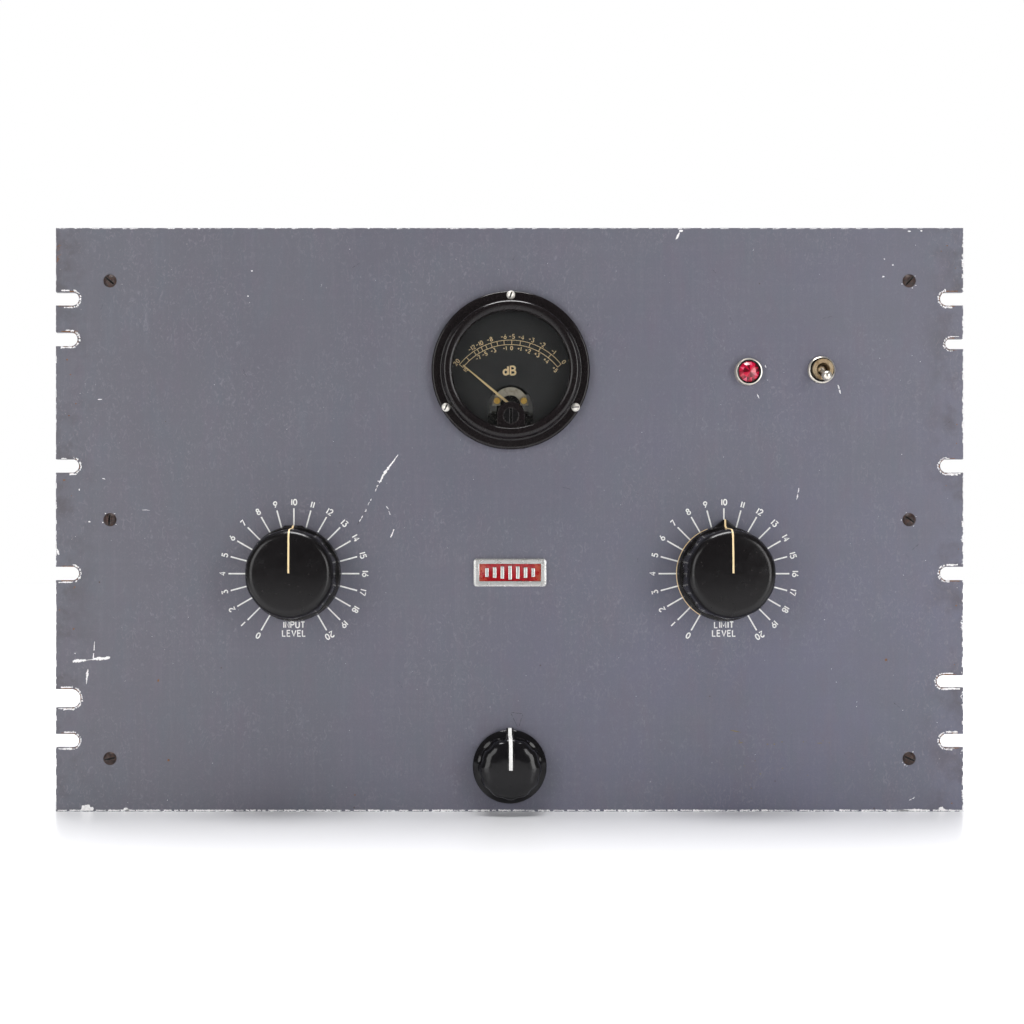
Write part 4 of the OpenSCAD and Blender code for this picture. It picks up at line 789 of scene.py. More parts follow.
def box_into(bm, low, high, transform):
    """Adds a box between two corners, in millimetres, and returns its faces."""
    corners = [bm.verts.new(transform @ (Vector((x, y, z)) * MM))
               for x in (low[0], high[0]) for y in (low[1], high[1]) for z in (low[2], high[2])]
    order = ((0, 1, 3, 2), (4, 6, 7, 5), (0, 4, 5, 1), (2, 3, 7, 6), (0, 2, 6, 4), (1, 5, 7, 3))
    return [bm.faces.new([corners[i] for i in face]) for face in order]


def prism_into(bm, outline, bottom, top, transform):
    """Adds a straight prism over an outline of (x, y) points, in millimetres."""
    rows = [[Vector((x, y, height)) for x, y in outline] for height in (bottom, top)]
    loft(bm, rows, transform)


def cut(piece, cutter, operation="DIFFERENCE"):
    """Exact boolean of a piece with a cutter, which is then removed."""
    boolean = piece.modifiers.new("cut", "BOOLEAN")
    boolean.operation = operation
    boolean.solver = "EXACT"
    boolean.object = cutter
    apply_modifiers(piece)
    mesh = cutter.data
    bpy.data.objects.remove(cutter)
    bpy.data.meshes.remove(mesh)
    return piece


# ---------------------------------------------------------------- large dials

def fluted(radius, count, depth, flute_radius, soften):
    """Radius of a fluted grip by angle, with its ridges softened over a few degrees."""
    reach = radius - depth + flute_radius
    step = 2 * pi / count

    def sharp(angle):
        off = (angle - pi / 2) % step - step / 2
        inside = flute_radius ** 2 - (reach * sin(off)) ** 2
        if inside <= 0:
            return radius
        return min(radius, reach * cos(off) - sqrt(inside))

    def softened(angle):
        taps = (-1, -0.5, 0, 0.5, 1)
        return sum(sharp(angle + radians(soften) * tap) for tap in taps) / len(taps)
    return softened


def nib_outline(skirt, reach, root_half, tip_half):
    """Radius by angle of a skirt whose top edge ramps out to a pointer nib."""
    root_y = skirt - 2

    def radius(angle):
        off = abs((angle - pi / 2 + pi) % (2 * pi) - pi)
        if off > pi / 4:
            return skirt
        flat = reach / cos(off)
        slope = (reach - root_y) / (root_half - tip_half)
        ramp = (reach + slope * tip_half) / (cos(off) + slope * sin(off))
        return max(skirt, min(flat, ramp))
    return radius


KNOB_STEPS = 360
LARGE_GRIP = 24.2
LARGE_FACE = 18.4
SKIRT_TOP = 4.4
NIB_TOP = 2.6


def large_knob(name, node, screw, joint, body):
    """Skirted phenolic knob with shallow flutes, a pointer nib and a filled index line."""
    low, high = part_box(node)
    x, z = ride_spot(joint)
    lift = (PANEL_FRONT - high.y) / MM
    height = (PANEL_FRONT - low.y) / MM - lift
    skirt = (z - low.z) / MM
    reach = (high.z - z) / MM
    place = front_frame(x, z) @ Matrix.Translation((0, 0, lift * MM))
    grip = fluted(LARGE_GRIP, 10, 1.1, 60, 4.0)
    nib = nib_outline(skirt, reach, 7.5, 1.0 if reach > skirt + 1 else 4.6)
    bore = 3.3
    recess = 13
    edge_h = 6.4
    rise = edge_h * 0.86
    fade = 0.75
    draft = 0.9
    wall_top = height - edge_h
    face_top = wall_top + rise

    def side(level):
        """Skirt radius at a level above its underside."""
        return skirt - max(0.0, level - 1.6) * 0.16

    def level_ring(level, inset, with_nib=True):
        def radius(angle):
            plain = side(level) - inset
            return max(plain, nib(angle) - inset) if with_nib else plain
        return ring_points(radius, level, KNOB_STEPS)

    def edge_point(part):
        """Inset and height on the rounded edge, from the wall at 0 to the face at 1."""
        turn = radians(90 * part)
        return draft + (LARGE_GRIP - LARGE_FACE - draft) * (1 - cos(turn)), wall_top + rise * sin(turn)

    def grip_ring(level, inset, keep=1.0):
        def radius(angle):
            full = LARGE_GRIP - (LARGE_GRIP - grip(angle)) * keep
            return full - inset
        return ring_points(radius, level, KNOB_STEPS)

    rings = [ring_points(lambda a: bore, height - 6, KNOB_STEPS), ring_points(lambda a: bore, 5, KNOB_STEPS),
             ring_points(lambda a: recess, 5, KNOB_STEPS), ring_points(lambda a: recess, 0, KNOB_STEPS)]
    rings += [level_ring(0, 0.35), level_ring(0.1, 0.1), level_ring(0.35, 0)]
    rings += [level_ring(NIB_TOP - 0.5, 0), level_ring(NIB_TOP - 0.15, 0.15), level_ring(NIB_TOP, 0.5)]
    rings += [level_ring(NIB_TOP + 0.12, 0.02, False), level_ring(SKIRT_TOP - 0.4, 0, False),
              level_ring(SKIRT_TOP - 0.1, 0.1, False), level_ring(SKIRT_TOP, 0.4, False)]
    rings += [grip_ring(SKIRT_TOP + 0.05, 0.15), grip_ring(SKIRT_TOP + 0.5, 0.02)]
    for part in (0.25, 0.5, 0.75, 1.0):
        rings.append(grip_ring(SKIRT_TOP + (wall_top - SKIRT_TOP) * part, draft * part, 1 - fade * part))
    for step in range(1, 9):
        inset, level = edge_point(step / 8)
        rings.append(grip_ring(level, inset, (1 - fade) * (1 - 0.9 * step / 8)))
    for part in (0.92, 0.75, 0.5, 0.25, 0.06):
        dome = (height - face_top) * (1 - part ** 2)
        rings.append(ring_points(lambda a: (LARGE_FACE - 0.1) * part, face_top + dome, KNOB_STEPS))
    piece = new_object(name, lambda bm: loft(bm, rings, place))
    screw_level = (PANEL_FRONT - centre(screw).y) / MM - lift
    drill_place = place @ Matrix.Translation((0, 0, screw_level * MM)) @ Matrix.Rotation(radians(90), 4, "X")
    drill = new_object("drill", lambda bm: lathe_into(
        bm, [(0, 4), (1.75, 4), (1.75, skirt + 5), (0, skirt + 5)], drill_place, 32))
    cut(piece, drill)
    smooth(piece, 38)
    finish_piece(piece, body, SLOT_OF[node], [node])

    path = [(0.5, height), (LARGE_FACE * 0.5, height - 0.1), (LARGE_FACE * 0.9, face_top + 0.12)]
    for step in range(0, 9):
        inset, level = edge_point(1 - step / 8)
        path.append((LARGE_GRIP - inset, level))
    path += [(LARGE_GRIP - 0.05, SKIRT_TOP + 0.5), (LARGE_GRIP + 0.1, SKIRT_TOP + 0.1),
             (side(SKIRT_TOP), SKIRT_TOP), (side(NIB_TOP) + 0.05, NIB_TOP + 0.2),
             (side(NIB_TOP) + 0.5, NIB_TOP)]
    if reach > skirt + 1:
        path += [(reach - 0.6, NIB_TOP), (reach - 0.1, NIB_TOP - 0.2), (reach, NIB_TOP - 0.5)]
    painted_line(name + "_index", path, 0.9, place, body, "marking_cream", proud=0.12)


def painted_line(name, path, width, place, body, slot, proud=0.05, buried=0.2):
    """A paint-filled line that follows a profile of (distance up, height) points on a knob."""
    def build(bm):
        rings = []
        for i, (out, level) in enumerate(path):
            before = Vector(path[max(0, i - 1)])
            after = Vector(path[min(len(path) - 1, i + 1)])
            along = (after - before).normalized()
            normal = Vector((-along.y, along.x))
            top = Vector((out, level)) + normal * proud
            under = Vector((out, level)) - normal * buried
            rings.append([Vector((-width / 2, under.x, under.y)), Vector((width / 2, under.x, under.y)),
                          Vector((width / 2, top.x, top.y)), Vector((-width / 2, top.x, top.y))])
        loft(bm, rings, place)
    finish_piece(smooth(new_object(name, build), 50), body, slot)


def selector_knob():
    """Polished selector knob: thin skirt, twelve soft lobes, domed face and a raised index rib."""
    node = "selector_knob"
    low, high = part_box(node)
    x, z = ride_spot("selector_turn")
    lift = (PANEL_FRONT - high.y) / MM
    height = (PANEL_FRONT - low.y) / MM - lift
    skirt = (z - low.z) / MM
    grip_r = 16.6
    skirt_top = 3.6
    dome = 5.2
    place = front_frame(x, z) @ Matrix.Translation((0, 0, lift * MM))
    grip = fluted(grip_r, 12, 0.6, 9, 3.0)
    rib_half = 1.9

    bore, recess = 3.3, 9.5
    profile = [(bore, height - 4), (bore, 5), (recess, 5), (recess, 0), (skirt - 0.3, 0), (skirt, 0.3),
               (skirt, 1.2), (skirt - 0.12, 1.5), (skirt - 0.5, 1.75), (grip_r + 1.2, skirt_top - 0.35),
               (grip_r + 0.4, skirt_top + 0.05)]
    rings = [ring_points(lambda a: radius, level, KNOB_STEPS) for radius, level in profile]
    rings += [ring_points(lambda a: grip(a) + 0.05, skirt_top + 0.5, KNOB_STEPS)]
    for part in (0.4, 1.0):
        level = skirt_top + 0.5 + (height - dome - skirt_top - 0.5) * part
        rings.append(ring_points(lambda a: grip(a) - 0.5 * part, level, KNOB_STEPS))
    for step in range(1, 15):
        turn = radians(90 * step / 14)
        scale = cos(turn) ** 0.62
        level = height - dome + dome * sin(turn)
        keep = 1 - step / 14
        rings.append(ring_points(
            lambda a: max(0.25, (grip_r - (grip_r - grip(a)) * keep - 0.5) * scale), level, KNOB_STEPS))
    piece = new_object("selector_grip", lambda bm: loft(bm, rings, place))
    smooth(piece, 40)
    finish_piece(piece, BODY_OF[node], SLOT_OF[node], [node])

    def surface(out):
        """Height of the knob's surface at a distance up from its axis."""
        scale = min(1.0, max(0.0, out / (grip_r - 0.5)))
        if scale >= 1.0:
            return None
        return height - dome + dome * sin(acos(scale ** (1 / 0.62)))

    path = [(0.2, height)]
    path += [(out, surface(out)) for out in (3, 6, 9, 11, 13, 14.4, 15.4, 15.9)]
    path += [(grip_r - 0.25, height - dome - 1.6), (grip_r + 0.2, skirt_top + 1.6),
             (grip_r + 0.9, skirt_top + 0.9), (skirt - 0.4, skirt_top + 0.7),
             (skirt + 0.5, skirt_top + 0.2), (skirt + 0.58, 2.4)]
    body = BODY_OF[node]
    painted_line("selector_rib", path, 2 * rib_half, place, body, SLOT_OF[node], 0.5, 2.0)
    painted_line("selector_index", path, rib_half, place, body, "marking_white", 0.56, 0.1)


def dial_markings(name, joint, words, ring=False):
    """Ticks, numbers and two short words round a large dial, and its painted ring where it survives."""
    x, z = ride_spot(joint)
    place = front_frame(x, z)
    ring_r = 25.25
    tick_out = 34.8
    number_r = 38.0
    step = 15
    count = 21
    ticks = []
    numbers = []
    for i in range(count):
        clock = (i - (count - 1) / 2) * step
        point = radial(0, 0, 0, clock)
        ticks.append([point(0, ring_r + 0.2), point(0, tick_out)])
        numbers += word_strokes(str(i), 3.0, radial(0, 0, number_r, clock))
    for row, word in enumerate(words):
        numbers += word_strokes(word, 3.1, upright(0, -27.2 - 4.5 * row))
    ink(name + "_ticks", ticks, 0.8, place, UNIT, "marking_white")
    ink(name + "_numbers", numbers, 0.68, place, UNIT, "marking_white")
    if ring:
        left_side = bow(0, 0, ring_r, ring_r, 90 + 150, 90 + 20, 3)
        ink(name + "_ring", [left_side], 0.45, place, UNIT, "marking_cream")


# ---------------------------------------------------------------- meter

def meter_ink():
    """Decibel scale on the dial plate: two arcs, cross ticks, two rows of numbers and the unit."""
    x, z = ride_spot("needle_swing")
    place = front_frame(x, z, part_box("meter_dial")[0].y)
    outer, inner = 34.7, 32.3
    full_scale = 113.8
    zero_angle = -62.8

    def angle_of(level):
        """Needle angle from upright, in degrees, for a level below full scale."""
        return zero_angle + full_scale * 10 ** (level / 20)

    start, end = angle_of(-20), angle_of(0)
    lines = [bow(0, 0, radius, radius, 90 - start, 90 - end, 2) for radius in (outer, inner)]
    for level in (-20, -15, -12, -11, -10, -9, -8, -7, -6, -5, -4, -3, -2, -1, 0):
        point = radial(0, 0, 0, angle_of(level))
        lines.append([point(0, inner - 0.1), point(0, outer + 0.1)])
    ink("meter_scale", lines, 0.32, place, UNIT, "marking_cream", lift=0.04)
    words = []
    for level in (-20, -12, -10, -8, -6, -5, -4, -3, -2, -1, 0):
        text = str(level).lstrip("-") if level == -20 else str(level)
        words += word_strokes(text, 2.15, radial(0, 0, outer + 1.95, angle_of(level)))
    for level in (-20, -12, -10, -8, -6, -5, -4, -3, -2, -1, 0):
        shown = level + 5
        text = f"{shown:+d}" if shown else "0"
        if shown == -15:
            text = "15"
        words += word_strokes(text, 2.0, radial(0, 0, inner - 1.85, angle_of(level)))
    ink("meter_numbers", words, 0.42, place, UNIT, "marking_cream", lift=0.04)
    unit = word_strokes("dB", 4.4, upright(-0.5, (centre("meter_case").z - z) / MM + 0.3))
    ink("meter_unit", unit, 1.05, place, UNIT, "marking_cream", lift=0.05)


def meter_case():
    """Moulded meter case: barrel, flange, raised bezel, and the arched boss round the adjuster."""
    node = "meter_case"
    spot = centre(node)
    place = front_frame(spot.x, spot.z)
    cavity, barrel, flange = 33, 35, 42
    window, lip, length = 30.8, 5.4, 28
    profile = [(cavity, -length), (barrel, -length), (barrel, 0), (flange - 0.3, 0), (flange, 0.3),
               (flange, 2.6)]
    profile += arc_points(flange - 1.4, 2.6, 1.4, 0, 90)[1:]
    profile += [(37.6, 4.0)] + arc_points(37.6, 5.2, 1.2, 270, 200, 5)[1:]
    profile += arc_points(34.1, 6.9, 2.35, 5, 100, 10) + arc_points(32.9, 7.2, 2.1, 125, 180, 8)
    profile += [(window, lip), (cavity, lip)]
    piece = new_object("meter_shell", lambda bm: lathe_into(bm, profile, place, 180))
    drop = (spot.z - ride_spot("zero_turn")[1]) / MM
    half = 7.4
    foot = sqrt((cavity + 0.5) ** 2 - half ** 2)
    arch = bow(0, -drop, half, half, 12, 168, 6)
    flare = 4.2
    left = [(x - half, y) for x, y in bow(-flare, -foot + flare, flare, flare, 0, -70, 10)]
    right = [(-x, y) for x, y in reversed(left)]
    outline = arch + left + right
    boss = new_object("boss", lambda bm: prism_into(bm, outline, 3.4, 7.2, place))
    rounded(boss, 1.1, 4, 30)
    cut(piece, boss, "UNION")
    hole = new_object("hole", lambda bm: lathe_into(
        bm, [(0, 2), (4.2, 2), (4.2, 9), (0, 9)], place @ Matrix.Translation((0, -drop * MM, 0)), 64))
    cut(piece, hole)
    for angle in (90, 210, 330):
        turn = radians(angle)
        spin = place @ Matrix.Translation((39.6 * MM * cos(turn), 39.6 * MM * sin(turn), 0))
        shank = [(0, -1), (1.5, -1), (1.5, 6), (0, 6)]
        cut(piece, new_object("drill", lambda bm: lathe_into(bm, shank, spin, 24)))
    smooth(piece, 32)
    finish_piece(piece, UNIT, SLOT_OF[node], [node])


# ---------------------------------------------------------------- pilot lamp

def jewel():
    """Cut glass jewel: a small table and three rings of facets over a girdle."""
    node = "pilot_jewel"
    low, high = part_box(node)
    spot = centre(node)
    place = front_frame(spot.x, spot.z)
    bottom = (PANEL_FRONT - high.y) / MM
    top = (PANEL_FRONT - low.y) / MM
    radius = (high.x - low.x) / 2 / MM
    sides = 14
    tiers = ((0.97, bottom, 0), (0.97, top - 2.5, 0), (0.6, top - 0.85, 0.5))

    def build(bm):
        rows = []
        for scale, level, turn in tiers:
            ring = []
            for i in range(sides):
                angle = 2 * pi * (i + turn) / sides
                point = Vector((radius * scale * cos(angle), radius * scale * sin(angle), level))
                ring.append(bm.verts.new(place @ (point * MM)))
            rows.append(ring)
        base, girdle, crown = rows
        apex = bm.verts.new(place @ (Vector((0.25, -0.2, top)) * MM))
        bm.faces.new(list(reversed(base)))
        for i in range(sides):
            j = (i + 1) % sides
            bm.faces.new((base[i], base[j], girdle[j], girdle[i]))
            bm.faces.new((girdle[i], girdle[j], crown[i]))
            bm.faces.new((girdle[j], crown[j], crown[i]))
            bm.faces.new((crown[i], crown[j], apex))
    piece = new_object("jewel_cut", build)
    finish_piece(piece, UNIT, SLOT_OF[node], [node])


def shadow_gaps():
    """Dark grooves inside the lamp's bezel and between the toggle's bushing and its ring nut."""
    jewel_low, jewel_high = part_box("pilot_jewel")
    bezel_low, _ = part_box("pilot_bezel")
    rim = (jewel_high.x - jewel_low.x) / 2 / MM
    level = (PANEL_FRONT - bezel_low.y) / MM
    spot = centre("pilot_jewel")
    groove = [(rim - 0.35, level - 1.2), (rim + 0.7, level - 1.2),
              (rim + 0.7, level + 0.04), (rim - 0.1, level - 0.1)]
    turned("bezel_groove", groove, [front_frame(spot.x, spot.z)], UNIT, "black_bakelite", count=64)
    nut_low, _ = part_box("toggle_ring_nut")
    rim = 5.5
    level = (PANEL_FRONT - nut_low.y) / MM
    spot = centre("toggle_ring_nut")
    groove = [(rim + 0.02, level - 0.6), (rim + 0.95, level - 0.6),
              (rim + 0.95, level + 0.06), (rim + 0.02, level + 0.1)]
    turned("nut_groove", groove, [front_frame(spot.x, spot.z)], UNIT, "black_bakelite", count=64)


# ---------------------------------------------------------------- wear on the panel

STEP_UP = 0.004


def streaks(name, spines, slot, rng, grain=0.5, lift=0.03):
    """Scratches and smears, roughened along their length: each spine is a run of (x, z, width)."""
    place = front_frame(0, 0)

    def build(bm):
        for index, spine in enumerate(spines):
            rings = []
            level = lift + STEP_UP * (index % 5)
            for (x0, z0, wide0), (x1, z1, wide1) in zip(spine, spine[1:]):
                span = hypot(x1 - x0, z1 - z0)
                side = Vector((z0 - z1, x1 - x0)) / span
                steps = max(2, int(span / grain))
                for i in range(steps + 1):
                    part = i / steps
                    half = max(0.05, (wide0 + (wide1 - wide0) * part) / 2)
                    middle = Vector((x0 + (x1 - x0) * part, z0 + (z1 - z0) * part))
                    left = middle + side * half * rng.uniform(0.4, 1.25)
                    right = middle - side * half * rng.uniform(0.4, 1.25)
                    rings.append([Vector((left.x, left.y, -0.05)), Vector((right.x, right.y, -0.05)),
                                  Vector((right.x, right.y, level)), Vector((left.x, left.y, level))])
            loft(bm, rings, place)
    return finish_piece(new_object(name, build), UNIT, slot)


def broken_run(rng, start, end, pieces, width, wander=0.25, gaps=0.25):
    """Spines for a scratch that skips, from start to end."""
    spines = []
    for i in range(pieces):
        if rng.random() < gaps:
            continue
        first = Vector(start).lerp(Vector(end), i / pieces)
        last = Vector(start).lerp(Vector(end), (i + rng.uniform(0.7, 1.02)) / pieces)
        middle = (first + last) / 2 + Vector((rng.uniform(-wander, wander), rng.uniform(-wander, wander)))
        spines.append([(first.x, first.y, width * rng.uniform(0.2, 0.7)),
                       (middle.x, middle.y, width * rng.uniform(0.7, 1.3)),
                       (last.x, last.y, width * rng.uniform(0.1, 0.5))])
    return spines


def blots(name, spots, slot, rng, lift=0.05):
    """Flat irregular flakes, each spot given as x, z and its width and height in millimetres."""
    place = front_frame(0, 0)

    def build(bm):
        for index, (x, z, wide, tall) in enumerate(spots):
            corners = rng.randint(6, 9)
            lean = rng.uniform(-0.5, 0.5)
            outline = []
            for i in range(corners):
                angle = 2 * pi * i / corners + rng.uniform(-0.2, 0.2)
                size = rng.uniform(0.55, 1.0)
                across = wide / 2 * size * cos(angle)
                up = tall / 2 * size * sin(angle)
                outline.append((x + across - lean * up, z + up + lean * across * 0.5))
            prism_into(bm, outline, -0.1, lift + STEP_UP * (index % 5), place)
    return finish_piece(new_object(name, build), UNIT, slot)


CUT_NOTCHES = ((-1, 96, 7.4, 11.5), (-1, -95, 9.8, 13), (1, 93.5, 5.5, 9.5), (1, -86, 6.4, 14))


def notch_outlines():
    """Each notch's outline in millimetres on the panel, from one edge point round its end to the other."""
    half_w = PANEL_HIGH.x / MM
    notches = list(CUT_NOTCHES)
    for mount in frame["record"]["mounts"]:
        if mount["name"].startswith("rack_notch"):
            x, _, z = mount["pos_m"]
            radius = mount["dims"]["r_mm"]
            notches.append((copysign(1, x), z / MM, 2 * radius, half_w - abs(x) / MM + radius))
    outlines = []
    for side, z, width, depth in notches:
        end = half_w - depth + width / 2
        half = width / 2
        path = [(half_w, z - half)] + bow(end, z, half, half, 270, 90, 9) + [(half_w, z + half)]
        outlines.append([(side * x, level) for x, level in path])
    return outlines


def notch_chips(rng):
    """Paint broken away round the notches' ends: a brown line at the rim, ragged pale flakes outside."""
    pale, brown = [], []
    for outline in notch_outlines():
        points = [Vector(point) for point in outline]
        dense = [a.lerp(b, i / 6) for a, b in zip(points, points[1:]) for i in range(6)]
        limit = PANEL_HIGH.x / MM - 0.5
        for kind, least, most, wide, longest, rest in (
                (brown, 0.25, 0.6, 0.45, 30, 14), (pale, 0.7, 1.3, 0.75, 22, 7),
                (pale, 0.3, 0.7, 0.5, 12, 30)):
            step = rng.randint(0, 5)
            while step < len(dense) - 3:
                run = rng.randint(6, longest)
                reach = rng.uniform(least, most)
                drift = rng.uniform(least, most)
                spine = []
                stretch = dense[step:step + run + 1]
                for number, (first, second) in enumerate(zip(stretch, stretch[1:])):
                    along = (second - first).normalized()
                    out = Vector((along.y, -along.x)) * (-1 if points[0].x > 0 else 1)
                    spot = first + out * (reach + (drift - reach) * number / run)
                    apart = not spine or hypot(spot.x - spine[-1][0], spot.y - spine[-1][1]) > 0.3
                    if abs(spot.x) < limit and apart:
                        spine.append((spot.x, spot.y, wide * rng.uniform(0.3, 1.7)))
                if len(spine) > 1:
                    kind.append(spine)
                step += run + rng.randint(0, rest)
    streaks("notch_chips", pale, "bare_chip", rng, 0.35)
    streaks("notch_rust", brown, "rust_chip", rng, 0.35)


def panel_wear():
    """The marks of use on the panel, in millimetres from its centre."""
    rng = random.Random(41)
    half_w = PANEL_HIGH.x / MM
    half_h = PANEL_HIGH.z / MM
    deep = [[(-232.3, -75.4, 1.2), (-230.5, -75.1, 1.9), (-227.5, -74.9, 1.5), (-225.3, -74.8, 0.9)],
            [(-225.3, -74.8, 0.25), (-221.1, -74.2, 0.4)],
            [(-221.2, -74.1, 1.0), (-218.5, -73.9, 1.9), (-215, -73.6, 1.6), (-212.5, -73.2, 1.0)],
            [(-220.7, -64.8, 0.2), (-221, -69.5, 0.6)], [(-221.2, -71, 0.5), (-221.6, -74.8, 0.6)],
            [(-224.2, -79.6, 0.3), (-224.6, -82, 1.35), (-225.1, -87.4, 0.2)],
            [(-231.4, -71, 0.5), (-230.7, -71.2, 0.3)]]
    deep += [[(-59.2, 34.6, 0.3), (-62.6, 30, 0.9), (-65.9, 25.7, 1.6), (-67.8, 22.4, 1.1),
              (-69.3, 19.5, 0.5)],
             [(-70.2, 20.6, 0.5), (-68, 20.2, 0.4)], [(-65.6, 7.2, 0.5), (-64.4, 5.6, 0.4)],
             [(-64.2, 4.6, 0.4), (-63.5, 2.6, 0.4)], [(-61.5, -5.1, 0.6), (-63.2, -9.5, 0.7)]]
    for run in (((-69.8, 18.4), (-79.9, -1.4), 11, 0.5, 0.3, 0.3),
                ((153.8, 16.9), (152.6, 10.5), 2, 0.7, 0.25, 0),
                ((131.6, 66.9), (132.8, 64.2), 1, 0.5, 0.2, 0),
                ((174.6, 71.7), (176.2, 66.3), 2, 1.0, 0.3, 0),
                ((-195.5, 5.2), (-191.2, 5.0), 1, 0.4, 0.15, 0),
                ((135.6, 84.4), (136.6, 80.2), 2, 0.7, 0.4, 0.2),
                ((212.6, -149.2), (215.4, -147.4), 2, 0.5, 0.3, 0)):
        deep += broken_run(rng, *run)
    streaks("deep_scratches", deep, "bare_chip", rng, 0.4)
    faint = broken_run(rng, (-73, 11), (-81, -3), 5, 0.3, 0.3, 0.35)
    for start, end in (((0.7, -102.9), (4.2, -110.2)), ((7.1, -103.2), (5.0, -110.0)),
                       ((1.0, -102.5), (6.9, -103.2))):
        faint += broken_run(rng, start, end, 3, 0.35, 0.15, 0)
    for _ in range(18):
        x, z = rng.uniform(4 - half_w, half_w - 4), rng.uniform(4 - half_h, half_h - 4)
        angle = rng.uniform(0, pi)
        length = rng.uniform(1.5, 6)
        end = (x + length * cos(angle), z + length * sin(angle))
        faint += broken_run(rng, (x, z), end, 2, 0.22, 0.2, 0)
    faint = [spine for spine in faint
             if all(abs(x) < half_w - 1 and abs(z) < half_h - 1 for x, z, _ in spine)]
    streaks("dark_scuffs", faint, "dark_scuff", rng, 0.5, 0.02)
    edge_nicks(rng, half_w, half_h)
    chips = [(89.5, 151.0, 1.8, 5.2), (91.4, 153.6, 3.2, 1.6), (-137, 132.3, 1.1, 1.1),
             (-139.1, 119, 1.2, 0.9), (-218, 64, 3.0, 0.7), (-226.6, 2.0 - half_h, 3.0, 3.4),
             (-224.2, 2.2 - half_h, 3.4, 3.8),
             (-222.0, 1.6 - half_h, 2.2, 2.6), (-204.3, 1.4 - half_h, 3.0, 2.2),
             (229.6, 1.5 - half_h, 3.6, 2.4),
             (-215.9, 21.8, 2.6, 0.5), (-228.8, 15.9, 0.8, 1.6), (-223.6, -1.1, 1.8, 0.8),
             (-240.2, -17, 1.6, 4.6),
             (-240.1, -23.5, 1.8, 3.6), (212.6, 153.4, 2.6, 1.0), (219, 153.6, 1.4, 1.2),
             (203.8, 135.5, 1.1, 0.9),
             (199.3, 138.6, 0.8, 0.8), (198.7, 129.2, 1.6, 1.0)]
    for side, row in ((1, 1), (1, 0), (1, -1), (-1, 0)):
        for _ in range(4):
            turn = rng.uniform(0, 2 * pi)
            chips.append((side * 212.5 + 4.1 * cos(turn), row * 127 + 4.1 * sin(turn),
                          rng.uniform(0.3, 1.3), rng.uniform(0.3, 0.9)))
    for _ in range(90):
        chips.append((rng.uniform(2 - half_w, half_w - 2), rng.uniform(2 - half_h, half_h - 2),
                      rng.uniform(0.2, 0.5), rng.uniform(0.2, 0.5)))
    blots("paint_chips", clear_of_holes(chips), "bare_chip", rng)
    rust = [(-236.9, 21.1, 2.2, 1.1), (-82.2, -146.4, 1.2, 0.8), (-186.8, -85.5, 1.5, 1.5),
            (-181.4, -127.8, 1.9, 1.7), (200.2, -74.6, 1.9, 2.0)]
    for side in (-1, 1):
        for _ in range(11):
            rust.append((side * (half_w - rng.uniform(1.5, 12)), rng.uniform(3 - half_h, half_h - 3),
                         rng.uniform(0.4, 1.4), rng.uniform(0.4, 1.2)))
    blots("rust_spots", clear_of_holes(rust), "rust_chip", rng)
    ochre = [(120, -112.5, 6.5, 0.7), (123, -118.6, 3.4, 0.7), (165, -118.8, 3.8, 0.6)]
    for _ in range(13):
        ochre.append((rng.uniform(122, 172), rng.uniform(-144, -110),
                      rng.uniform(0.5, 1.5), rng.uniform(0.4, 0.9)))
    blots("ochre_marks", ochre, "ochre_stain", rng, 0.02)
    notch_chips(rng)


def edge_nicks(rng, half_w, half_h):
    """Flakes along the panel's edges, closest together along the bottom."""
    spines = []
    inset = 0.65
    top = half_h - 0.42
    for start, end, wide in ((-228, -221.5, 3.6), (-205.7, -202.3, 2.0), (206.5, 223.5, 1.4),
                             (227.8, 232, 2.2)):
        spines.append([(start, inset - half_h, 0.6), ((start + end) / 2, wide * 0.6 - half_h, wide),
                       (end, inset - half_h, 0.6)])
    x = 1 - half_w
    while x < half_w - 3:
        run = rng.uniform(1.5, 7)
        wide = rng.uniform(0.5, 1.1)
        spines.append([(x, inset - half_h, wide), (min(x + run, half_w - 0.5), inset - half_h, wide * 0.7)])
        x += run + rng.uniform(0, 2.2)
    for side in (-1, 1):
        z = 1 - half_h
        while z < half_h - 3:
            run = rng.uniform(1, 4)
            if not any(abs(z + run / 2 - spot) < 9 for spot in NOTCH_ROWS[side]):
                wide = rng.uniform(0.12, 0.45) if side < 0 else rng.uniform(0.25, 0.85)
                x = side * (half_w - 0.08 - wide / 2)
                spines.append([(x, z, wide), (x, z + run, wide * 0.6)])
            z += run + rng.uniform(0.5, 8)
    for x in (-219, -212.6, -179, -165.6, -60, 12, 89.5, 140):
        spines.append([(x, top, 0.7), (x + rng.uniform(0.8, 2.5), top, 0.3)])
    x = 2 - half_w
    while x < half_w - 6:
        run = rng.uniform(1, 5)
        wide = rng.uniform(0.15, 0.5)
        spines.append([(x, top, wide), (x + run, top, wide * 0.5)])
        x += run + rng.uniform(1, 9)
    streaks("edge_nicks", spines, "bare_chip", rng, 0.4)
    scuffs = []
    for _ in range(12):
        z = rng.uniform(134, 147)
        tip = (-half_w + rng.uniform(1.4, 3), z + rng.uniform(0.6, 2), 0.15)
        scuffs.append([(-half_w + 0.6, z, 0.3), tip])
    for _ in range(6):
        x = rng.uniform(-239, -229)
        scuffs.append([(x, 100.2, 0.5), (x + rng.uniform(0.8, 2), 100.3, 0.3)])
    streaks("edge_rust", scuffs, "rust_chip", rng, 0.4)


RACK_ROWS = [-117.5, -28.6, 28.6, 117.5]
NOTCH_ROWS = {side: [z for s, z, _, _ in CUT_NOTCHES if s == side] + RACK_ROWS for side in (-1, 1)}


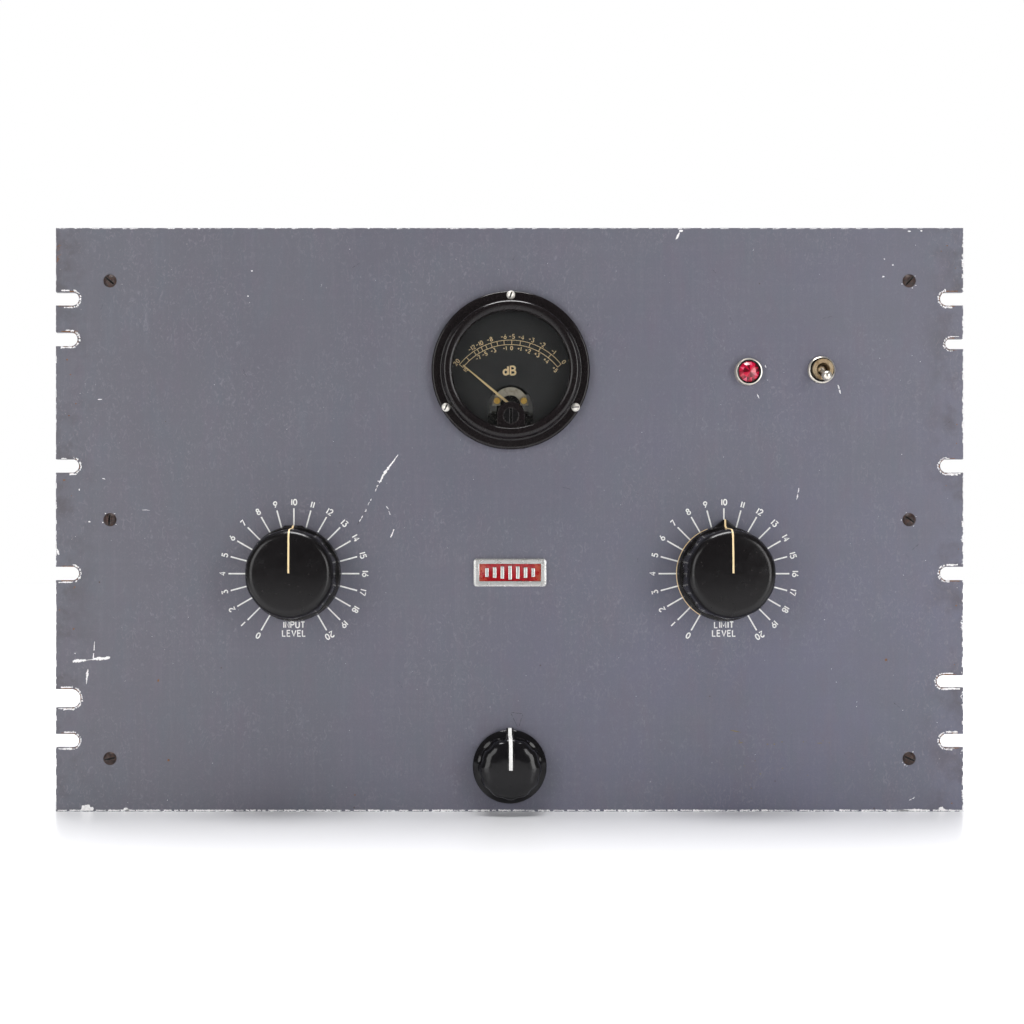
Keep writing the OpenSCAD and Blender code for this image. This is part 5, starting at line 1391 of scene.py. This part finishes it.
def clear_of_holes(spots):
    """Drops the spots that would hang over a notch or lie under a fitting."""
    kept = []
    for spot in spots:
        x, z = spot[0], spot[1]
        side = 1 if x > 0 else -1
        at_notch = abs(x) > 225 and any(abs(z - row) < 7 for row in NOTCH_ROWS[side])
        fittings = [(centre("meter_case"), 43), (centre("selector_knob"), 22), (centre("badge_frame"), 20)]
        under = any(hypot(x - at.x / MM, z - at.z / MM) < reach for at, reach in fittings)
        if not at_notch and not under:
            kept.append(spot)
    return kept


# ---------------------------------------------------------------- chassis side

def parts_of(node):
    """The separate solids of a CAD node as (low, high) boxes in metres, left to right and top to bottom."""
    bm = mesh_of(node)
    unseen = set(bm.verts)
    boxes = []
    while unseen:
        queue = [unseen.pop()]
        points = []
        while queue:
            vert = queue.pop()
            points.append(vert.co.copy())
            for edge in vert.link_edges:
                other = edge.other_vert(vert)
                if other in unseen:
                    unseen.remove(other)
                    queue.append(other)
        boxes.append((Vector([min(point[i] for point in points) for i in range(3)]),
                      Vector([max(point[i] for point in points) for i in range(3)])))
    bm.free()
    return sorted(boxes, key=lambda box: (round(box[0].x, 3), -box[0].z))


CHASSIS_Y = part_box("chassis_pan")[1].y


def on_chassis(box):
    """Local frame on the chassis at a solid's middle: +Z out to the rear, +Y up, +X to the left."""
    middle = (box[0] + box[1]) / 2
    return Matrix.Translation((middle.x, CHASSIS_Y, middle.z)) @ Matrix.Rotation(pi, 4, "Z") @ QUARTER_TURN


def sizes(box):
    """A solid's width, height across the chassis and reach out of it, in millimetres."""
    return ((box[1].x - box[0].x) / MM, (box[1].z - box[0].z) / MM, (box[1].y - CHASSIS_Y) / MM)


def rounded_ring(wide, tall, corner, level, inset=0.0):
    """A rounded rectangle ring of points."""
    points = []
    radius = max(0.2, corner - inset)
    for sx, sy, start in ((1, 1, 0), (-1, 1, 90), (-1, -1, 180), (1, -1, 270)):
        cx, cy = sx * (wide / 2 - corner), sy * (tall / 2 - corner)
        points += [Vector((x, y, level)) for x, y in arc_points(cx, cy, radius, start, start + 90, 6)]
    return points


def drawn_box(bm, wide, tall, corner, bottom, top, edge, transform):
    """A drawn metal box: rounded sides and a rounded outer edge at the top."""
    rings = [rounded_ring(wide, tall, corner, bottom)]
    for step in range(7):
        turn = radians(90 * step / 6)
        rings.append(rounded_ring(wide, tall, corner, top - edge + edge * sin(turn), edge * (1 - cos(turn))))
    loft(bm, rings, transform)


def sheets(bm, low, high, count, axis, rng, transform):
    """A stack of thin sheets between two corners, each a little off from the next."""
    pitch = (high[axis] - low[axis]) / count
    for i in range(count):
        slip = rng.uniform(0.0, 0.22) + (0.16 if i % 2 else 0)
        first = [value + slip for value in low]
        last = [value - slip for value in high]
        first[axis] = low[axis] + pitch * i
        last[axis] = first[axis] + pitch * 1.001
        box_into(bm, first, last, transform)


def metal_tubes():
    """All-metal tubes: painted shell with a rolled crimp and a pip, on a moulded wafer base."""
    boxes = parts_of("metal_tubes")
    places = [on_chassis(box) for box in boxes]
    top = sizes(boxes[0])[2]
    shell, crimp, base = 13.4, 16.6, 16.2
    profile = [(0, 11), (crimp - 0.4, 11)] + arc_points(crimp - 0.7, 13.3, 0.7, -60, 75, 6)
    profile += arc_points(shell + 1.6, 16, 1.6, 250, 180, 6)[1:]
    profile += arc_points(shell - 3.4, top - 6, 3.4, 0, 82, 8)
    profile += [(5.2, top - 2.3), (4.8, top - 0.6), (3.6, top), (0, top)]
    turned("metal_tube_shells", profile, places, UNIT, "black_enamel", ["metal_tubes"], count=64)
    profile = [(0, 3), (base - 0.4, 3), (base, 3.4), (base, 10.4), (base - 0.5, 11.1), (0, 11.1)]
    turned("metal_tube_bases", profile, places, UNIT, "black_bakelite", count=64)


def glass_tubes():
    """Glass tubes: grooved bases, smooth bulbs with a getter flash, toothed micas and ribbed anodes."""
    bases = [on_chassis(box) for box in parts_of("glass_tube_bases")]
    base_top = sizes(parts_of("glass_tube_bases")[0])[2]
    base = 16.2
    profile = [(0, 3), (base - 0.6, 3), (base, 3.6), (base, base_top - 3.2), (base - 0.5, base_top - 2.9),
               (base - 0.5, base_top - 2.2), (base, base_top - 1.9), (base - 0.1, base_top - 0.5),
               (base - 0.7, base_top), (0, base_top)]
    turned("glass_bases", profile, bases, UNIT, "brown_bakelite", ["glass_tube_bases"], count=72)
    for index, box in enumerate(parts_of("glass_tube_envelopes")):
        wide, _, top = sizes(box)
        radius = wide / 2
        neck, dome = radius * 0.42, radius * 0.58
        shoulder = top - dome
        place = [on_chassis(box)]

        def bulb(inset):
            crown = arc_points(neck, shoulder, dome - inset, 0, 80, 10)
            waist = [(radius - inset - 0.9, base_top + 0.02), (radius - inset, base_top + 5)]
            return waist + crown + [(1.6, top - inset - 0.2), (0, top - inset)]
        shell = bulb(0) + list(reversed(bulb(0.8)))
        turned(f"bulb_{index}", shell, place, UNIT, "clear_glass", ["glass_tube_envelopes"], count=72)
        flash = arc_points(neck, shoulder, dome - 0.95, 12, 80, 8) + [(0, top - 1.2)]
        flash += [(0, top - 1.5)] + arc_points(neck, shoulder, dome - 1.2, 14, 80, 8)[::-1]
        turned(f"getter_{index}", flash, place, UNIT, "getter", count=48)
        works = parts_of("glass_tube_plates")[index]
        tube_works(index, on_chassis(works), sizes(works)[0] / 2, base_top, sizes(works)[2])


def tube_works(index, place, mica_r, bottom, top):
    """Stem, toothed micas, support rods and a ribbed anode inside one glass tube."""
    stem = 8
    wide, deep = 15.0, 9.0

    def toothed(angle):
        return mica_r if cos(12 * angle) > 0.2 else mica_r - 0.9

    def discs(bm):
        for level in (bottom + stem, top - 0.6):
            loft(bm, [ring_points(toothed, height, 144) for height in (level, level + 0.5)], place)
    finish_piece(new_object(f"micas_{index}", discs), UNIT, "mica")

    def anode(bm):
        outline = []
        for x, y in bow(0, 0, wide / 2, deep / 2, 0, 352, 8):
            swell = 1.12 if abs(x) > wide * 0.44 else 1.0
            outline.append((x * swell, y))
        prism_into(bm, outline, bottom + stem + 2.5, top - 2.5, place)
        for level in (0.3, 0.7):
            middle = bottom + stem + (top - bottom - stem) * level
            prism_into(bm, [(x * 1.05, y * 1.08) for x, y in outline], middle - 0.7, middle + 0.7, place)
        for x in (-wide / 2 - 0.6, wide / 2 + 0.6, -2.2, 2.2):
            rod = place @ Matrix.Translation((x * MM, 0, 0))
            lathe_into(bm, [(0, bottom + 3), (0.45, bottom + 3), (0.45, top + 1.2), (0, top + 1.2)], rod, 12)
        neck = bottom + stem - 1
        foot = [(0, bottom), (6, bottom), (5.2, bottom + 3), (3.2, neck), (0, neck)]
        lathe_into(bm, foot, place, 32)
    piece = smooth(new_object(f"anode_{index}", anode), 30)
    finish_piece(piece, UNIT, "plate_nickel", ["glass_tube_plates"])


def tube_sockets():
    """Moulded sockets, each held by a plated saddle with two rivets."""
    places = [on_chassis(box) for box in parts_of("tube_sockets")]
    body = [(4.1, -9), (13.8, -9), (14.2, -8.6), (14.2, 2.2), (13.6, 3), (4.1, 3)]
    turned("socket_bodies", body, places, UNIT, "black_bakelite", ["tube_sockets"], count=64)
    saddle = [(14.3, 0.02), (18.7, 0.02), (19, 0.3), (19, 0.9), (18.6, 1.2), (15.2, 1.2), (14.3, 1.9)]
    turned("socket_saddles", saddle, places, UNIT, "zinc", count=64)
    rivet = [(0, 1.1), (1.5, 1.1), (1.35, 1.6), (0.9, 1.95), (0, 2.05)]
    ears = [place @ Matrix.Translation((side * 17 * MM, 0, 0)) for place in places for side in (-1, 1)]
    turned("socket_rivets", rivet, ears, UNIT, "brass", count=20)


def filter_cans():
    """Electrolytic cans: a rolled foot, a crimp ring under the recessed, vented top."""
    boxes = parts_of("filter_capacitors")
    places = [on_chassis(box) for box in boxes]
    top = sizes(boxes[0])[2]
    radius, foot, rim = 17.5, 1.7, 18.3
    profile = [(0, foot), (rim, foot), (rim, foot + 1.6), (rim - 0.7, foot + 2.3), (radius, foot + 2.8)]
    profile += arc_points(radius + 0.3, top * 0.16, 1.6, 250, 110, 8)
    profile += [(radius, top - 1.8)] + arc_points(radius - 1, top - 1, 1, 0, 180, 8)
    profile += [(radius - 2.1, top - 2.4), (radius - 4, top - 3), (0, top - 3)]
    turned("filter_cans", profile, places, UNIT, "can_aluminium", ["filter_capacitors"], count=96)
    plug = [(0, top - 3.2), (3, top - 3.2), (2.8, top - 2.2), (2, top - 1.7), (0, top - 1.6)]
    turned("can_vents", plug, places, UNIT, "black_bakelite", count=32)


def transformers():
    """Power transformer with end bells, the potted transformer cans and the open-frame choke."""
    rng = random.Random(7)
    core = parts_of("power_core")[0]
    place = on_chassis(core)
    bells = parts_of("power_covers")
    tall = sizes(core)[2]
    stack = (bells[0][0].z - bells[1][1].z) / MM
    depth = (bells[0][1].z - bells[0][0].z) / MM
    wide = 84

    def iron(bm):
        sheets(bm, (-wide / 2, -stack / 2, 0.1), (wide / 2, stack / 2, tall), 24, 1, rng, place)
        box_into(bm, (-wide / 2 - 10, -stack / 2, 0.02), (wide / 2 + 10, stack / 2, 1.6), place)
    finish_piece(new_object("power_iron", iron), UNIT, "lamination_steel", ["power_core"])

    def covers(bm):
        for side in (-1, 1):
            turn = place @ Matrix.Translation((0, side * (stack / 2) * MM, tall / 2 * MM)) @ Matrix.Rotation(
                radians(-90 * side), 4, "X")
            drawn_box(bm, wide - 10, tall - 12, 8, 1.4, depth, 6.5, turn)
            plate = [rounded_ring(wide, tall - 1, 2, level) for level in (0.1, 1.5)]
            loft(bm, plate, turn)
            for x in (-1, 1):
                for y in (-1, 1):
                    bolt = turn @ Matrix.Translation((x * (wide / 2 - 4.5) * MM, y * (tall / 2 - 5) * MM, 0))
                    prism_into(bm, [(3.6 * cos(radians(a)), 3.6 * sin(radians(a)))
                                    for a in range(12, 372, 60)], 1.4, 4.2, bolt)
                    lathe_into(bm, [(0, 4), (1.9, 4), (1.9, 5.6), (1.5, 6), (0, 6)], bolt, 16)
    piece = smooth(new_object("power_bells", covers), 40)
    finish_piece(piece, UNIT, "black_enamel", ["power_covers"])

    def cans(bm):
        for box in parts_of("transformer_cans"):
            across, up, out = sizes(box)
            spot = on_chassis(box)
            inner = up - 21
            drawn_box(bm, across, inner, 6, 1.2, out, 5, spot)
            loft(bm, [rounded_ring(across, up, 3, 0.02), rounded_ring(across, up, 3, 1.4),
                      rounded_ring(across, up, 3, 1.6, 0.2)], spot)
            bead = (out * 0.06, out * 0.09)
            loft(bm, [rounded_ring(across + 0.9, inner + 0.9, 6, level) for level in bead], spot)
            for x in (-1, 1):
                button = spot @ Matrix.Translation((x * across * 0.24 * MM, 0, out * MM))
                lathe_into(bm, [(0, -0.4), (4, -0.4), (3.9, 0.25), (3.2, 0.6), (0, 0.7)], button, 24)
    piece = smooth(new_object("potted_cans", cans), 40)
    finish_piece(piece, UNIT, "grey_enamel", ["transformer_cans"])

    box = parts_of("filter_choke")[0]
    _, deep, out = sizes(box)
    spot = on_chassis(box)
    half, thick = 29, 18

    def core_stack(bm):
        sheets(bm, (-half, -thick / 2, 0.1), (half, thick / 2, out - 1.4), 12, 1, rng, spot)
    finish_piece(new_object("choke_iron", core_stack), UNIT, "lamination_steel", ["filter_choke"])

    def coil(bm):
        rings = [rounded_ring(2 * half - 22, deep, 7, 9 + level, inset) for level, inset in
                 ((0, 1.5), (0.8, 0.2), (2, 0.6), (15, 0), (28, 0.5), (29.4, 0.2), (30.2, 1.6))]
        loft(bm, rings, spot)
    finish_piece(smooth(new_object("choke_coil", coil), 40), UNIT, "waxed_paper")

    def strap(bm):
        edge = half + 1.4
        for left, right, foot, head in ((-edge, -half - 0.02, 0.02, out), (half + 0.02, edge, 0.02, out),
                                        (-edge, edge, out - 1.4, out), (-half - 14, -half, 0.02, 1.6),
                                        (half, half + 14, 0.02, 1.6)):
            box_into(bm, (left, -8, foot), (right, 8, head), spot)
    finish_piece(new_object("choke_strap", strap), UNIT, "zinc")


def fuse_holder():
    """Fuse holder: nut, flange and a knurled cap with a screwdriver slot."""
    box = parts_of("fuse_holder")[0]
    place = on_chassis(box)
    top = sizes(box)[2]
    body = [(0, -36), (6.8, -36), (6.8, 0), (8.7, 0.02), (9, 0.4), (9, 1.9), (8.5, 2.4), (0, 2.4)]
    turned("fuse_body", body, [place], UNIT, "black_bakelite", ["fuse_holder"], count=64)

    def knurled(inset):
        return lambda angle: 7.3 - inset - (0.28 if cos(30 * angle) < 0 else 0)

    def cap(bm):
        rings = [ring_points(knurled(0.3), 2.3, 240), ring_points(knurled(0), 2.8, 240),
                 ring_points(knurled(0.1), top - 2.2, 240)]
        rings += [ring_points(lambda a: 6.6, top - 1.2, 240), ring_points(lambda a: 5.4, top - 0.4, 240),
                  ring_points(lambda a: 2.5, top, 240)]
        loft(bm, rings, place)
    piece = new_object("fuse_cap", cap)
    slot = new_object("slot", lambda bm: box_into(bm, (-8, -0.7, top - 1.5), (8, 0.7, top + 2), place))
    finish_piece(smooth(cut(piece, slot), 30), UNIT, "black_bakelite")


# ---------------------------------------------------------------- build the front

large_knob("gain_grip", "gain_knob", "gain_setscrew", "gain_turn", "gain_dial")
large_knob("limiter_grip", "limiter_knob", "limiter_setscrew", "limiter_turn", "limiter_dial")
selector_knob()
dial_markings("gain", "gain_turn", ("INPUT", "LEVEL"))
dial_markings("limiter", "limiter_turn", ("LIMIT", "LEVEL"), ring=True)
meter_case()
meter_ink()
jewel()
shadow_gaps()
panel_wear()
refined("front_panel", 0.3)
ROUNDINGS = {"panel_screws": 0.12, "meter_screws": 0.1, "badge_frame": 0.28, "badge_enamel": 0.1,
             "meter_zero_adjuster": 0.2, "toggle_ring_nut": 0.15, "toggle_bushing": 0.12, "pilot_bezel": 0.12,
             "chassis_pan": 0.7, "control_nuts": 0.15, "panel_nuts": 0.2, "terminal_strips": 0.35,
             "terminal_screws": 0.15, "transformer_screws": 0.15, "capacitor_wafers": 0.2,
             "balance_control": 0.2, "balance_shaft": 0.25, "toggle_case": 0.5}
for node_name, width in ROUNDINGS.items():
    piece = refined(node_name, width)
    if node_name == "meter_screws":
        piece.data.materials[0] = silver_screw()
metal_tubes()
glass_tubes()
tube_sockets()
filter_cans()
transformers()
fuse_holder()


# ---------------------------------------------------------------- floor, light and camera

def studio():
    low = CAD_BOX[0]
    size = 6.0
    floor_mesh = bpy.data.meshes.new("floor")
    corners = [(x * size, y * size, low.z) for x, y in ((-1, -1), (1, -1), (1, 1), (-1, 1))]
    floor_mesh.from_pydata(corners, [], [(0, 1, 2, 3)])
    floor = in_scene("floor", floor_mesh)
    look = Look("floor_white", srgb(243, 243, 245), 0.22)
    look.set("Specular IOR Level", 0.5)
    cloudy = look.noise(400, 2, 0.5)
    look.set("Roughness", look.ramp(cloudy, 0.3, 0.7, 0.2, 0.24))
    far = look.math("SQRT", look.plus(look.math("POWER", look.axis("X"), 2.0),
                                      look.math("POWER", look.axis("Y"), 2.0)))
    look.set("Emission Color", (1, 1, 1, 1))
    seen = look.node("LightPath").outputs["Is Camera Ray"]
    look.set("Emission Strength", look.times(seen, look.ramp(far, 0.6, 1.7, 0.0, 0.8)))
    floor_mesh.materials.append(look.material)
    white_room()

    def soft_light(name, location, target, wide, tall, power):
        data = bpy.data.lights.new(name, "AREA")
        data.shape = "RECTANGLE"
        data.size = wide
        data.size_y = tall
        data.energy = power
        lamp = in_scene(name, data)
        lamp.location = location
        lamp.rotation_euler = (Vector(target) - Vector(location)).to_track_quat("-Z", "Y").to_euler()
        lamp.visible_camera = False

    soft_light("key_left", (-1.15, -1.15, 0.4), (0, 0, -0.03), 0.8, 1.2, 10.5)
    soft_light("key_right", (1.15, -1.15, 0.25), (0, 0, -0.03), 0.6, 1.2, 11.8)
    soft_light("rear_left", (-1.0, 1.3, 0.9), (0, 0.05, 0), 0.8, 0.8, 6)
    soft_light("rear_right", (1.1, 1.2, 0.7), (0, 0.05, 0), 0.8, 0.8, 5)
    soft_light("overhead", (0, 0.12, 1.7), (0, 0.05, 0), 0.9, 0.9, 46)


def white_room():
    """White to the camera; as a light it is bright behind the panel and dim in front of it."""
    world = bpy.data.worlds.new("white_room")
    world.use_nodes = True
    tree = world.node_tree
    background = tree.nodes["Background"]
    background.inputs[0].default_value = (1, 1, 1, 1)
    place = tree.nodes.new("ShaderNodeTexCoord")
    parts = tree.nodes.new("ShaderNodeSeparateXYZ")
    tree.links.new(place.outputs["Generated"], parts.inputs[0])
    behind = tree.nodes.new("ShaderNodeMapRange")
    dim, bright = 0.13, 0.95
    for name, value in (("From Min", 0.1), ("From Max", 0.6), ("To Min", dim), ("To Max", bright)):
        behind.inputs[name].default_value = value
    tree.links.new(parts.outputs["Y"], behind.inputs["Value"])
    seen = tree.nodes.new("ShaderNodeLightPath")
    pick = tree.nodes.new("ShaderNodeMath")
    pick.operation = "MAXIMUM"
    tree.links.new(seen.outputs["Is Camera Ray"], pick.inputs[0])
    tree.links.new(behind.outputs[0], pick.inputs[1])
    tree.links.new(pick.outputs[0], background.inputs[1])
    bpy.context.scene.world = world


def camera():
    """Camera at the height and side the object is seen from, straight on, with a shifted lens."""
    distance = 0.75
    eye = Vector((-0.030, PANEL_FRONT - distance, -0.020))
    frame_width = 0.5446
    frame_middle = Vector((0.0013, 0, 0.0041))
    data = bpy.data.cameras.new("camera")
    data.sensor_width = 36
    data.lens = data.sensor_width * distance / frame_width
    data.shift_x = (frame_middle.x - eye.x) / frame_width
    data.shift_y = (frame_middle.z - eye.z) / frame_width
    view = in_scene("camera", data)
    view.location = eye
    view.rotation_euler = (radians(90), 0, 0)
    bpy.context.scene.camera = view


studio()
camera()
bpy.context.scene.view_settings.view_transform = "Standard"
